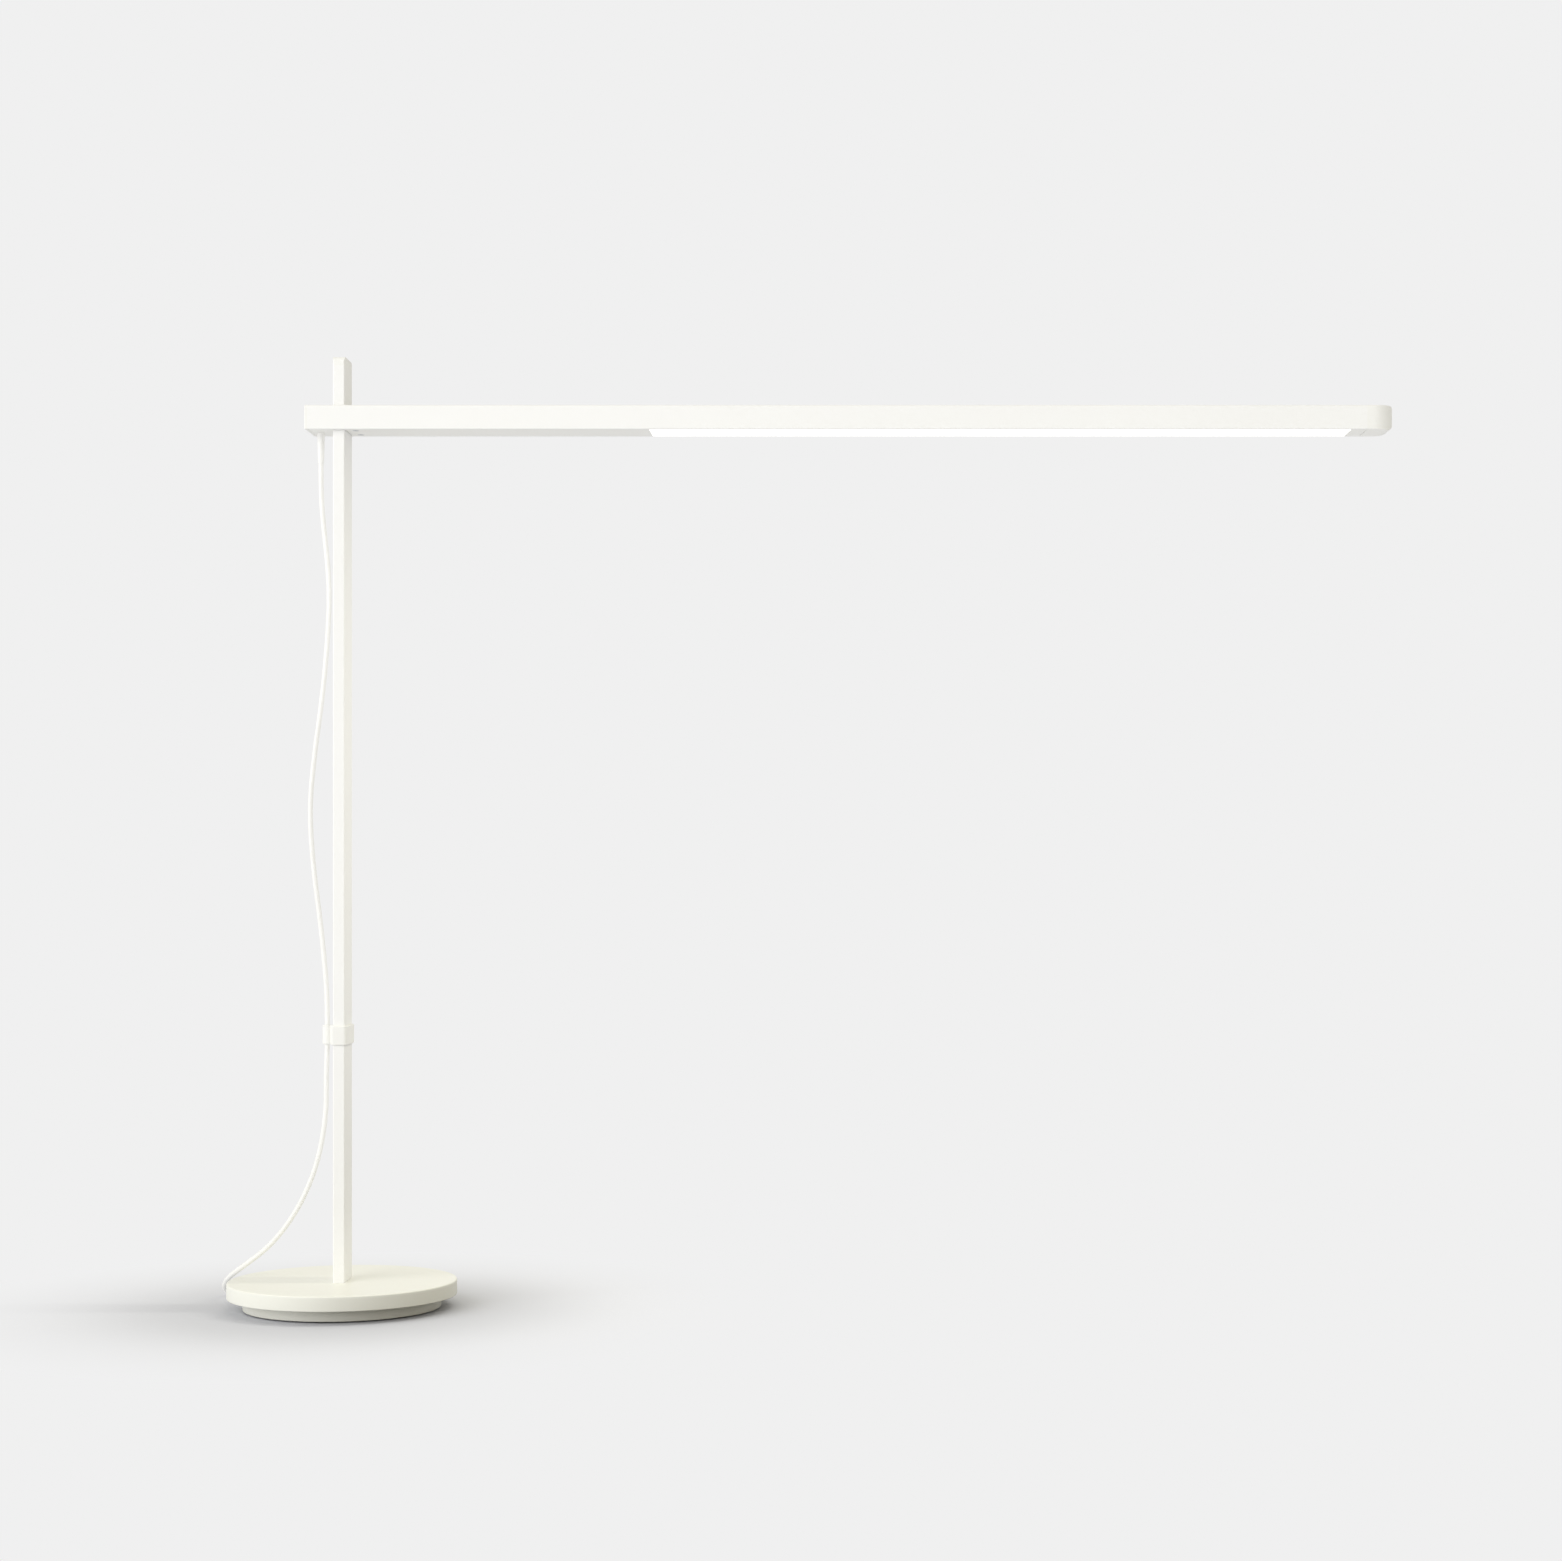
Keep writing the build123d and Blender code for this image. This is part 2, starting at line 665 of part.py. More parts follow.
def make_driver():
    """The driver board with the parts that hang under it, the touch sensor board and the inner leads."""
    half = board_width / 2
    board_heights = (board_bottom, board_bottom + board_thickness)
    board = in_arm((driver_start, driver_end), (-half, half), board_heights)
    touch_end = touch_board_start + touch_board_length
    touch = in_arm((touch_board_start, touch_end), (-half, half), board_heights)
    wall = inner_width / 2
    lead_top = flat_lead_rise + flat_lead_height
    socket_start = driver_start + socket_place
    socket_x = (socket_start, socket_start + socket_length)
    socket_back = wall - lead_clearance - socket_depth
    socket = in_arm(socket_x, (socket_back, wall - lead_clearance), (flat_lead_rise, lead_top))
    socket += in_arm(socket_x, (socket_back, wall - shelf_reach - board_clearance), (lead_top, board_bottom))
    transformer = hung_box(transformer_place, transformer_length, transformer_width, transformer_height)
    chip = hung_box(chip_place, chip_length, chip_width, chip_height)
    can_x = driver_start + can_place + can_length / 2
    can = Rot(0, 90, 0) * Cylinder(can_diameter / 2, can_length)
    cans = pair(Pos(can_x, 0, arm_bottom + board_bottom - can_diameter / 2) * can, can_spacing)
    choke_x = driver_start + choke_place + choke_diameter / 2
    choke = ring(choke_diameter, choke_hole, board_bottom - choke_height, board_bottom)
    parts = [socket, transformer, chip, Pos(choke_x, 0, arm_bottom) * choke, *cans]
    flat = in_arm(
        (terminal_front, socket_start),
        (wall - lead_clearance - lead_thickness, wall - lead_clearance),
        (flat_lead_rise, lead_top),
    )
    link_y = reflector_top_width / 2 + link_lead_offset
    link = in_arm(
        (driver_end - link_lead_lap, led_board_start + link_lead_lap),
        (link_y, link_y + link_lead_width),
        (board_bottom - lead_thickness, board_bottom),
    )
    return {
        "driver_board": board,
        "driver_parts": Compound(children=parts),
        "touch_board": touch,
        "flat_lead": flat,
        "link_lead": link,
    }


def make_inlet():
    """The cord's grommet, the cord inside it, and the terminal block that the cord ends in."""
    place = Pos(-grommet_behind_post, 0, arm_bottom)
    flange_top = cover_thickness + grommet_flange_thickness
    sleeve = turned(
        (-grommet_length, 0, grommet_tip_diameter, grommet_root_diameter),
        (0, cover_thickness, grommet_root_diameter, grommet_root_diameter),
        (cover_thickness, flange_top, grommet_flange_diameter, grommet_flange_diameter),
    )
    bore = cord_diameter + 2 * grommet_clearance
    sleeve -= turned((-grommet_length, flange_top, bore, bore))
    inside = FilletPolyline(
        (0, 0, -grommet_length),
        (0, 0, inlet_bend_rise),
        (0, terminal_offset, inlet_bend_rise),
        radius=inlet_bend_radius,
    )
    inlet = sweep((inside ^ 0) * Circle(cord_diameter / 2), path=inside)
    terminal = in_arm(
        (-grommet_behind_post - terminal_width / 2, terminal_front),
        (terminal_offset, terminal_offset + terminal_depth),
        (cover_thickness, cover_thickness + terminal_height),
    )
    return {"cord_grommet": place * sleeve, "cord_inlet": place * inlet, "terminal_block": terminal}


def tube(name, points):
    """A cord along straight runs joined by arcs, each as large as its two runs allow."""
    spots = [Vector(*point) for point in points]
    runs = [b - a for a, b in zip(spots, spots[1:])]
    radii = []
    for before, after in zip(runs, runs[1:]):
        half_turn = math.radians(before.get_angle(after)) / 2
        radii.append(bend_share * min(before.length, after.length) / math.tan(half_turn))
    path = FilletPolyline(*spots, radius=radii)
    solid = sweep((path ^ 0) * Circle(cord_diameter / 2), path=path)
    expected = math.pi * cord_diameter**2 / 4 * path.length
    print(name, "radii", [round(radius) for radius in radii])
    print(name, "length", round(path.length, 1), "volume over section times length", round(solid.volume / expected, 4))
    return solid


def coil_point(turn):
    """A point of the coil: the radius shrinks, then grows, at a steady rate, and the climb is where it turns."""
    middle = coil_turns / 2
    radius = coil_outer_radius - coil_step * (middle - abs(turn - middle))
    climb = min(max((turn - middle) / 0.5 + 0.5, 0.0), 1.0)
    height = cord_diameter / 2 + coil_lift + coil_step * (3 * climb**2 - 2 * climb**3)
    angle = math.radians(coil_start_angle) - 2 * math.pi * turn
    return Vector(
        coil_center_x + radius * math.cos(angle),
        coil_center_y + radius * math.sin(angle),
        height,
    )


def coil_way(turn):
    """The coil's direction at a turn, from two points close to each side of it."""
    close = 1e-4
    return (coil_point(turn + close) - coil_point(turn - close)).normalized()


def biarc(start, start_way, end, end_way):
    """Two arcs that leave start along start_way and reach end along end_way, smooth where they meet."""
    chord = end - start
    ways = start_way + end_way
    spread = 2 * (1 - start_way.dot(end_way))
    along = chord.dot(ways)
    reach = (math.sqrt(along**2 + spread * chord.dot(chord)) - along) / spread
    joint = (start + end + (start_way - end_way) * reach) / 2
    joint_way = (end - end_way * reach) - (start + start_way * reach)
    return [TangentArc(start, joint, tangent=start_way), TangentArc(joint, end, tangent=joint_way)]


def make_coil():
    """The spare cord as one unbroken piled spiral, with a straight end at each side and a tie round it."""
    quarters = round(coil_turns * 4)
    stops = [i * coil_turns / quarters for i in range(quarters + 1)]
    edges = []
    for low, high in zip(stops, stops[1:]):
        edges += biarc(coil_point(low), coil_way(low), coil_point(high), coil_way(high))
    first = coil_point(0) - coil_way(0) * coil_end_run
    last = coil_point(coil_turns) + coil_way(coil_turns) * coil_end_run
    edges = [Line(first, coil_point(0)), *edges, Line(coil_point(coil_turns), last)]
    path = Wire(edges)
    coil = sweep((path ^ 0) * Circle(cord_diameter / 2), path=path)
    samples = [coil_point(i * coil_turns / 600) for i in range(601)]
    apart = 60
    least = min((a - b).length for i, a in enumerate(samples) for b in samples[i + apart :])
    print("cord_coil length", round(path.length, 1), "least gap to itself", round(least - cord_diameter, 2))
    inner = coil_outer_radius - coil_step * coil_turns / 2 - cord_diameter / 2 - tie_clearance
    outer = coil_outer_radius + cord_diameter / 2 + tie_clearance
    low = coil_lift - tie_clearance
    high = coil_lift + coil_step + cord_diameter + tie_clearance
    hole = Pos((inner + outer) / 2, (low + high) / 2) * RectangleRounded(
        outer - inner, high - low, tie_corner_radius
    )
    band = offset(hole, tie_thickness) - hole
    tie = extrude(Plane.XZ * band, tie_width / 2, both=True)
    return {
        "cord_coil": coil,
        "coil_tie": Pos(coil_center_x, coil_center_y, 0) * Rot(0, 0, tie_angle) * tie,
    }, first, last


def make_plug(entry, way):
    """A flat two-pin plug, lying on its broad side, with a tapered relief where the cord goes in at entry."""
    root = Plane(origin=entry, x_dir=(0, 0, 1), z_dir=way)
    tail = plug_relief_length
    waist = tail + plug_shoulder_length
    face = tail + plug_length
    broad = RectangleRounded(plug_thickness, plug_width, plug_corner_radius)
    neck = RectangleRounded(
        plug_relief_root_diameter, plug_relief_root_diameter, plug_relief_root_diameter / 2 - 0.5
    )
    body = extrude(root.offset(waist) * broad, face - waist)
    body += loft([root.offset(tail) * neck, root.offset(waist) * broad])
    relief = turned((0, tail, plug_relief_tip_diameter, plug_relief_root_diameter))
    body += root.location * relief
    pin = turned((face, face + plug_pin_length, plug_pin_diameter, plug_pin_diameter))
    pin = fillet(pin.edges().group_by(Axis.Z)[-1], plug_pin_diameter * 0.4)
    pins = [root.location * shape for shape in pair(pin, plug_pin_spacing)]
    return {"plug_body": body, "plug_pins": Compound(children=pins)}


def make_cord():
    """The whole cord outside the arm: hanging part, drop to the coil, coil, tail and plug."""
    coil, coil_first, coil_last = make_coil()
    way = coil_way(coil_turns)
    entry = coil_last + way * tail_length
    entry = Vector(entry.X, entry.Y, plug_thickness / 2)
    tail_route = [
        coil_last,
        coil_last + way * (tail_length / 3),
        entry - way * (tail_length / 3),
        entry,
    ]
    return {
        "cord_hang": tube("cord_hang", hang_route),
        "cord_drop": tube("cord_drop", [*drop_route, coil_first - coil_way(0) * drop_end_run, coil_first]),
        "cord_tail": tube("cord_tail", tail_route),
        **coil,
        **make_plug(entry, way),
    }


# Heights in the swivel and at the screw heads, and the front of the terminal block
pivot_head_bottom = pad_thickness + pivot_head_clearance
pivot_head_top = pivot_head_bottom + pivot_head_height
flange_seat = pivot_head_top + washer_dish + washer_thickness + washer_clearance + bush_flange_thickness
head_top = disc_bottom + post_screw_head_height
terminal_front = -grommet_behind_post + terminal_width / 2

nodes = {}
for make in (
    make_foot,
    make_pivot,
    make_disc,
    make_post,
    make_clip,
    make_channel,
    make_rear_cap,
    make_nose_cap,
    make_strips,
    make_slider,
    make_light,
    make_driver,
    make_inlet,
    make_cord,
):
    nodes.update(make())

os.makedirs("parts", exist_ok=True)
for name, shape in nodes.items():
    export_step(shape, f"parts/{name}.step")
print(len(nodes), "nodes")
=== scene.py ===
"""Dresses the sliding arm lamp: its cord, base and screws, its finishes and a plain studio."""

import json
import math

import bpy
import numpy as np
from bpy.props import FloatProperty, FloatVectorProperty, IntProperty, PointerProperty
from bpy.types import Operator, Panel, PropertyGroup
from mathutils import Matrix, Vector

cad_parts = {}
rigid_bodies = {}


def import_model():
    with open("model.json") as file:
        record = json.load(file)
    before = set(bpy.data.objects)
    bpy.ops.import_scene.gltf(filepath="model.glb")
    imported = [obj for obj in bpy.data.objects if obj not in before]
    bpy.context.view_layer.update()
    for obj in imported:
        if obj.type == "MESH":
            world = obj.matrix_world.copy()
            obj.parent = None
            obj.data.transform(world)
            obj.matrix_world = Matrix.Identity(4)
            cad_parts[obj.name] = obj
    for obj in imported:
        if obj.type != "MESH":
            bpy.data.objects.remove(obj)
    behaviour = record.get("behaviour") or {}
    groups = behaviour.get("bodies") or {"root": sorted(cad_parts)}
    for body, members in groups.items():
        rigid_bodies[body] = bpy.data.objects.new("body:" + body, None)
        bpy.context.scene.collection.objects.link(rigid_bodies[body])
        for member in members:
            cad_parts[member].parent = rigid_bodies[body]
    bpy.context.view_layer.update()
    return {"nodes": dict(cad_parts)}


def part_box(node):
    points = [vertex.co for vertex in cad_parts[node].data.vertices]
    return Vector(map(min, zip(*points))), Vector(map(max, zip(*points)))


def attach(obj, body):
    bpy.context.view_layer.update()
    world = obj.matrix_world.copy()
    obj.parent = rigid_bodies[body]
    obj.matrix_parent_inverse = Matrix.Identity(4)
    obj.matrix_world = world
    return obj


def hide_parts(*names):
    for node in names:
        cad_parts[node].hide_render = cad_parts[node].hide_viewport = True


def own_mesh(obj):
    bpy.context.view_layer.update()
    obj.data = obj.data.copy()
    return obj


bl_info = {
    "name": "Sliding Arm Lamp",
    "version": (1, 0, 0),
    "blender": (4, 5, 0),
    "location": "3D View > Sidebar > Lamp",
    "description": "Adds the cord, turned pieces, finishes and studio of a lamp whose arm slides on a post",
    "category": "Object",
}

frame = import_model()

MM = 0.001

# The photograph's frame in pixels, the camera's sensor in millimetres and its reach in metres
PHOTO_WIDTH = 1562
PHOTO_HEIGHT = 1561
SENSOR_WIDTH = 36.0
CAMERA_REACH = 100.0

# Route of the cord, in millimetres: from the grommet down to the clip, then over the base's rim
HANGING_ROUTE = [
    (-17.0, 0.0, 670.1),
    (-17.0, 0.0, 652.0),
    (-15.9, 0.0, 628.0),
    (-12.0, 0.0, 594.0),
    (-10.1, 0.0, 564.0),
    (-12.4, 0.0, 520.0),
    (-16.7, 0.0, 478.0),
    (-22.4, 0.0, 438.0),
    (-26.3, 0.0, 396.0),
    (-23.3, 0.0, 350.0),
    (-17.4, 0.0, 306.0),
    (-13.6, 0.0, 268.0),
    (-12.0, 0.0, 243.0),
    (-12.0, 0.0, 224.5),
]
LAID_ROUTE = [
    (-12.0, 0.0, 224.5),
    (-12.0, 0.0, 205.0),
    (-13.0, 0.0, 182.0),
    (-12.8, 0.0, 155.0),
    (-17.9, 0.0, 122.0),
    (-28.0, 1.0, 93.0),
    (-43.0, 4.0, 67.2),
    (-61.0, 10.0, 46.6),
    (-81.5, 20.0, 31.6),
    (-100.5, 36.0, 18.0),
    (-106.5, 54.0, 7.6),
    (-104.5, 73.0, 2.5),
    (-98.0, 94.0, 2.1),
]
ARM_TRAVEL = 350.0

# Spare cord, in millimetres and degrees: a piled spiral behind the base, and the run into the plug
COIL_CENTER = (-48.0, 118.0)
COIL_OUTER_RADIUS = 31.0
COIL_STEP = 4.5
COIL_WHOLE_TURNS = 6
COIL_START_ANGLE = 146.5
COIL_END_ANGLE = 60.0
COIL_LIFT = 0.75
COIL_CLIMB_TURNS = 0.5
COIL_POINTS_PER_TURN = 18
COIL_END_RUN = 4.0
DROP_END_RUN = 22.0
TAIL_LENGTH = 18.0
PLUG_AXIS_HEIGHT = 6.85

# Cord's tube, in metres: its guide turns from +Y to +Z over a height below the top, and points nearer
# than the last value count as one
GUIDE_TURN_TOP = 0.1
GUIDE_TURN_HEIGHT = 0.07
SAME_POINT = 1e-7

# Base, in millimetres. A hole has a radius and a depth from the disc's underside. The foot plate's inside
# is a section: the distance from the axis, and the height above the table.
EDGE_POINTS = 9
CUT_PAST = 1.0
DISC_EDGE_RADIUS = 1.2
DISC_LOWER_EDGE_RADIUS = 0.6
SEAT_SIZE = (9.6, 32.2)
SEAT_CORNER_RADIUS = 1.1
SEAT_DEPTH = 2.4
THREAD_HOLE = (4.05, 6.6)
SCREW_HOLE = (2.7, 10.0)
SCREW_HEAD_HOLE = (4.65, 4.0)
SCREW_SPACING = 21.0
FOOT_EDGE_RADIUS = 0.8
FOOT_INSIDE = [
    (70.0, 9.7),
    (70.0, 8.3),
    (62.0, 8.3),
    (62.0, 9.7),
    (9.05, 9.7),
    (9.05, 6.12),
    (13.0, 6.12),
    (13.0, 2.0),
    (73.3, 2.0),
    (73.3, 0.8),
]

# Countersunk screws under the arm, in millimetres: the head's radius and height, the shank's radius, and
# the socket's distance across its flats and its depth
SLIDER_SCREW_HEAD = (2.7, 1.6)
SLIDER_SCREW_RADIUS = 1.5
SOCKET_SIZE = (2.0, 1.2)

# Floor, in metres. Each fade goes from its full share at the inner distance to nothing at the outer.
FLOOR_HALF_SIZE = 30.0
FLOOR_LEVEL = -0.0002
MATT_FADE = (0.1, 0.34)
# Painted shadow round the base: within the next fade the sheet is painted darker, down to the near tint at
# the base
PAINTED_SHADOW_FADE = (0.08, 0.26)
PAINTED_SHADOW_TINT = 0.76
FAR_TINT = 0.94
# Painted shade for bounced light: a dark patch at the base's right, which only light that bounces sees, so
# the floor sends less light up at the base
BOUNCE_SHADE_CENTER = (0.12, 0.0, 0.0)
BOUNCE_SHADE_FADE = (0.12, 0.26)
BOUNCE_SHADE_COLOR = (0.05, 0.04, 0.02, 1.0)

# Lamps, in metres
KEY_PLACE = (-4.6, -5.2, 3.3)
KEY_AIM = (0.35, 0.0, 0.4)
KEY_SIZE = 7.0
KEY_COLOR = (0.94, 0.96, 1.0)
STRIP_COLOR = (1.0, 0.98, 0.86)
STRIP_GAP = 0.001

# Finish of each CAD node
NODE_FINISH = {
    "coated_aluminium": ["post", "arm_channel"],
    "moulded_white": ["post_cap", "rear_cap", "nose_cap", "rear_cover", "nose_cover", "cable_clip"],
    "milky_diffuser": ["diffuser"],
    "bright_reflector": ["reflector"],
    "bearing_plastic": ["slider_block", "swivel_bush", "glide_ring", "brake_pads"],
    "zinc_steel": ["pivot_bolt", "pivot_washer", "post_screws", "stop_pin", "brake_spring"],
    "circuit_board": ["led_board", "driver_board", "touch_board"],
    "led_phosphor": ["leds"],
    "dark_moulding": ["driver_parts", "terminal_block"],
    "insulated_lead": ["flat_lead", "link_lead"],
    "foot_rubber": ["foot_pad"],
    "cord_sheath": ["cord_inlet"],
    "soft_grommet": ["cord_grommet"],
    "strap_plastic": ["coil_tie"],
    "plug_moulding": ["plug_body"],
    "nickel_pins": ["plug_pins"],
}


class Wire:
    """A socket in a material's node tree. Arithmetic on it adds Math nodes."""

    def __init__(self, finish, socket):
        self.finish = finish
        self.socket = socket

    def math(self, operation, first, second):
        """A Math node on two values or sockets."""
        return self.finish.node("ShaderNodeMath", {"operation": operation}, {0: first, 1: second})

    def __add__(self, other):
        return self.math("ADD", self, other)

    def __radd__(self, other):
        return self.math("ADD", other, self)

    def __sub__(self, other):
        return self.math("SUBTRACT", self, other)

    def __rmul__(self, other):
        return self.math("MULTIPLY", other, self)


class Finish:
    """A material built from nodes, with one method that adds a node."""

    def __init__(self, name):
        self.material = bpy.data.materials.new(name)
        self.material.use_nodes = True
        self.tree = self.material.node_tree
        self.tree.nodes.clear()

    @classmethod
    def within(cls, tree):
        """The same methods for a tree that is there already, such as the world's."""
        finish = cls.__new__(cls)
        finish.tree = tree
        tree.nodes.clear()
        return finish

    def node(self, kind, settings=None, sockets=None, output=0):
        """Adds a node: its settings first, then the value or link of each socket. Returns one output."""
        made = self.tree.nodes.new(kind)
        for key, value in (settings or {}).items():
            setattr(made, key, value)
        for key, value in (sockets or {}).items():
            if isinstance(value, Wire):
                self.tree.links.new(value.socket, made.inputs[key])
            else:
                made.inputs[key].default_value = value
        return Wire(self, made.outputs[output])

    def position(self):
        """The point on the piece, in metres, in the piece's own frame."""
        return self.node("ShaderNodeTexCoord", output="Object")

    def noise(self, scale, detail=2.0, stretch=(1.0, 1.0, 1.0)):
        """Soft noise about 0.5, with about scale features to the metre."""
        place = self.node("ShaderNodeMapping", sockets={"Vector": self.position(), "Scale": stretch})
        sockets = {"Vector": place, "Scale": scale, "Detail": detail, "Roughness": 0.5}
        return self.node("ShaderNodeTexNoise", sockets=sockets)

    def mix(self, factor, low, high):
        """A colour between two colours."""
        settings = {"data_type": "RGBA"}
        return self.node("ShaderNodeMix", settings, {0: factor, 6: low, 7: high}, output=2)

    def bump(self, height, strength, distance):
        """The normal of a surface that rises with the height, by a distance in metres."""
        sockets = {"Height": height, "Strength": strength, "Distance": distance}
        return self.node("ShaderNodeBump", sockets=sockets)

    def close(self, **sockets):
        """Ends the material in a Principled shader. Names take spaces for underscores."""
        named = {key.replace("_", " "): value for key, value in sockets.items()}
        shader = self.node("ShaderNodeBsdfPrincipled", sockets=named)
        self.node_output(shader)
        return self.material

    def node_output(self, shader, kind="ShaderNodeOutputMaterial"):
        """Joins a shader to the end of the tree."""
        made = self.tree.nodes.new(kind)
        self.tree.links.new(shader.socket, made.inputs["Surface"])


def tint(color, amount):
    """The colour scaled by an amount, as RGBA."""
    return tuple(min(1.0, channel * amount) for channel in color[:3]) + (1.0,)


def coated_finish(name, color, roughness, gloss):
    """Powder coat: a fine orange-peel surface, with a slow drift in colour and in roughness."""
    finish = Finish(name)
    drift = finish.noise(scale=9.0, detail=3.0)
    peel = finish.noise(scale=650.0, detail=1.5)
    return finish.close(
        Base_Color=finish.mix(drift, tint(color, 0.985), tint(color, 1.01)),
        Roughness=roughness + 0.06 * (drift - 0.5) + 0.05 * (peel - 0.5),
        Coat_Weight=gloss,
        Coat_Roughness=0.22,
        Normal=finish.bump(peel, strength=0.25, distance=0.00012),
    )


def moulded_finish(name, color, roughness, grain=2400.0):
    """Moulded plastic: a fine spark-eroded grain, with faint flow marks in the colour."""
    finish = Finish(name)
    flow = finish.noise(scale=40.0, detail=2.0, stretch=(0.3, 1.0, 1.0))
    spark = finish.noise(scale=grain, detail=1.0)
    return finish.close(
        Base_Color=finish.mix(flow, tint(color, 0.97), tint(color, 1.01)),
        Roughness=roughness + 0.1 * (spark - 0.5),
        Normal=finish.bump(spark, strength=0.2, distance=0.00006),
    )


def diffuser_finish(name, color, glow):
    """Milky sheet: a soft glow, with a faint swell over each lamp along the arm."""
    finish = Finish(name)
    swell = finish.noise(scale=66.0, detail=0.0, stretch=(1.0, 0.02, 0.02))
    satin = finish.noise(scale=3000.0, detail=0.0)
    return finish.close(
        Base_Color=finish.mix(satin, tint(color, 0.985), tint(color, 1.0)),
        Roughness=0.42 + 0.08 * (satin - 0.5),
        Emission_Color=finish.mix(swell, (0.97, 0.96, 0.93, 1.0), (1.0, 1.0, 0.98, 1.0)),
        Emission_Strength=glow,
    )


def metal_finish(name, color, roughness):
    """Plated metal: fine turning marks round the axis, and a slight cloudiness."""
    finish = Finish(name)
    cloud = finish.noise(scale=300.0, detail=3.0)
    turning = finish.noise(scale=5200.0, detail=0.0, stretch=(0.1, 0.1, 1.0))
    return finish.close(
        Base_Color=finish.mix(cloud, tint(color, 0.92), tint(color, 1.04)),
        Metallic=1.0,
        Roughness=roughness + 0.12 * (cloud - 0.5),
        Normal=finish.bump(turning, strength=0.12, distance=0.00004),
    )


def board_finish(name, mask, trace):
    """Circuit board: a solder mask with the tracks under it just showing through."""
    finish = Finish(name)
    weave = {"Vector": finish.position(), "Scale": 240.0}
    tracks = finish.node("ShaderNodeTexVoronoi", {"distance": "MANHATTAN"}, weave)
    return finish.close(
        Base_Color=finish.mix(tracks, tint(trace, 1.0), tint(mask, 1.0)),
        Roughness=0.3 + 0.2 * tracks,
        Normal=finish.bump(tracks, strength=0.15, distance=0.00005),
    )


def sheath_finish(name, color):
    """Cord sheath: drawn plastic, with faint lines along it and a little dust."""
    finish = Finish(name)
    dust = finish.noise(scale=120.0, detail=3.0)
    drawn = finish.noise(scale=1800.0, detail=0.5, stretch=(1.0, 1.0, 0.15))
    return finish.close(
        Base_Color=finish.mix(dust, tint(color, 0.96), tint(color, 1.01)),
        Roughness=0.42 + 0.1 * (dust - 0.5),
        Normal=finish.bump(drawn, strength=0.12, distance=0.00008),
    )


def coil_points():
    """The spiral's points: the radius falls to the middle turn and grows again, a step to each turn.

    The height climbs by one step, as a smooth step, in the half turn about the middle. A quadratic spline
    passes inside a ring of points by (3 + cos a) / 4, for a the angle from one to the next, so the radius
    is divided by that.
    """
    turns = COIL_WHOLE_TURNS + (COIL_START_ANGLE - COIL_END_ANGLE) / 360
    count = round(turns * COIL_POINTS_PER_TURN) + 1
    turn = np.linspace(0, turns, count)
    middle = turns / 2
    radius = COIL_OUTER_RADIUS - COIL_STEP * (middle - np.abs(turn - middle))
    inside = (3 + math.cos(2 * math.pi * turns / (count - 1))) / 4
    climb = np.clip((turn - middle) / COIL_CLIMB_TURNS + 0.5, 0, 1)
    height = cord_settings().diameter / MM / 2 + COIL_LIFT + COIL_STEP * (3 * climb**2 - 2 * climb**3)
    angle = math.radians(COIL_START_ANGLE) - 2 * math.pi * turn
    across = radius / inside
    return np.stack(
        [COIL_CENTER[0] + across * np.cos(angle), COIL_CENTER[1] + across * np.sin(angle), height], axis=1
    )


def along(angle_degrees, radius, height):
    """A point of the coil's outer turn in millimetres, the cord's way there, and the spiral's slope."""
    angle = math.radians(angle_degrees)
    point = np.array(
        [COIL_CENTER[0] + radius * math.cos(angle), COIL_CENTER[1] + radius * math.sin(angle), height]
    )
    slope = COIL_STEP / (2 * math.pi * radius)
    return point, np.array([math.sin(angle), -math.cos(angle), 0.0]), slope


def laid_points():
    """Control points of the cord below the clip, in millimetres: its route, coil and run into the plug."""
    low = cord_settings().diameter / MM / 2 + COIL_LIFT
    first, first_way, _ = along(COIL_START_ANGLE, COIL_OUTER_RADIUS, low)
    last, last_way, slope = along(COIL_END_ANGLE, COIL_OUTER_RADIUS, low + COIL_STEP)
    outward = last - np.array([*COIL_CENTER, low + COIL_STEP])
    last_way = last_way + slope * outward / np.linalg.norm(outward)
    last_way = last_way / np.linalg.norm(last_way)
    start = first - first_way * COIL_END_RUN
    end = last + last_way * COIL_END_RUN
    entry = end + last_way * TAIL_LENGTH
    entry[2] = PLUG_AXIS_HEIGHT
    third = last_way * TAIL_LENGTH / 3
    tail = [end, end + third, entry - third, entry]
    return np.vstack([LAID_ROUTE, [start - first_way * DROP_END_RUN, start], coil_points(), tail])


def spline_points(points, steps):
    """Points along a NURBS spline of order 3 that has the given control points."""
    curve = bpy.data.curves.new("cord_line", "CURVE")
    curve.dimensions = "3D"
    curve.resolution_u = steps
    spline = curve.splines.new("NURBS")
    spline.points.add(len(points) - 1)
    weighted = np.column_stack([points, np.ones(len(points))])
    spline.points.foreach_set("co", weighted.ravel())
    spline.order_u = 3
    spline.use_endpoint_u = True
    guide = bpy.data.objects.new("cord_line", curve)
    mesh = bpy.data.meshes.new_from_object(guide)
    line = np.empty(len(mesh.vertices) * 3)
    mesh.vertices.foreach_get("co", line)
    bpy.data.meshes.remove(mesh)
    bpy.data.objects.remove(guide)
    bpy.data.curves.remove(curve)
    line = line.reshape(-1, 3)
    step = np.linalg.norm(np.diff(line, axis=0), axis=1)
    return line[np.concatenate([[True], step > SAME_POINT])]


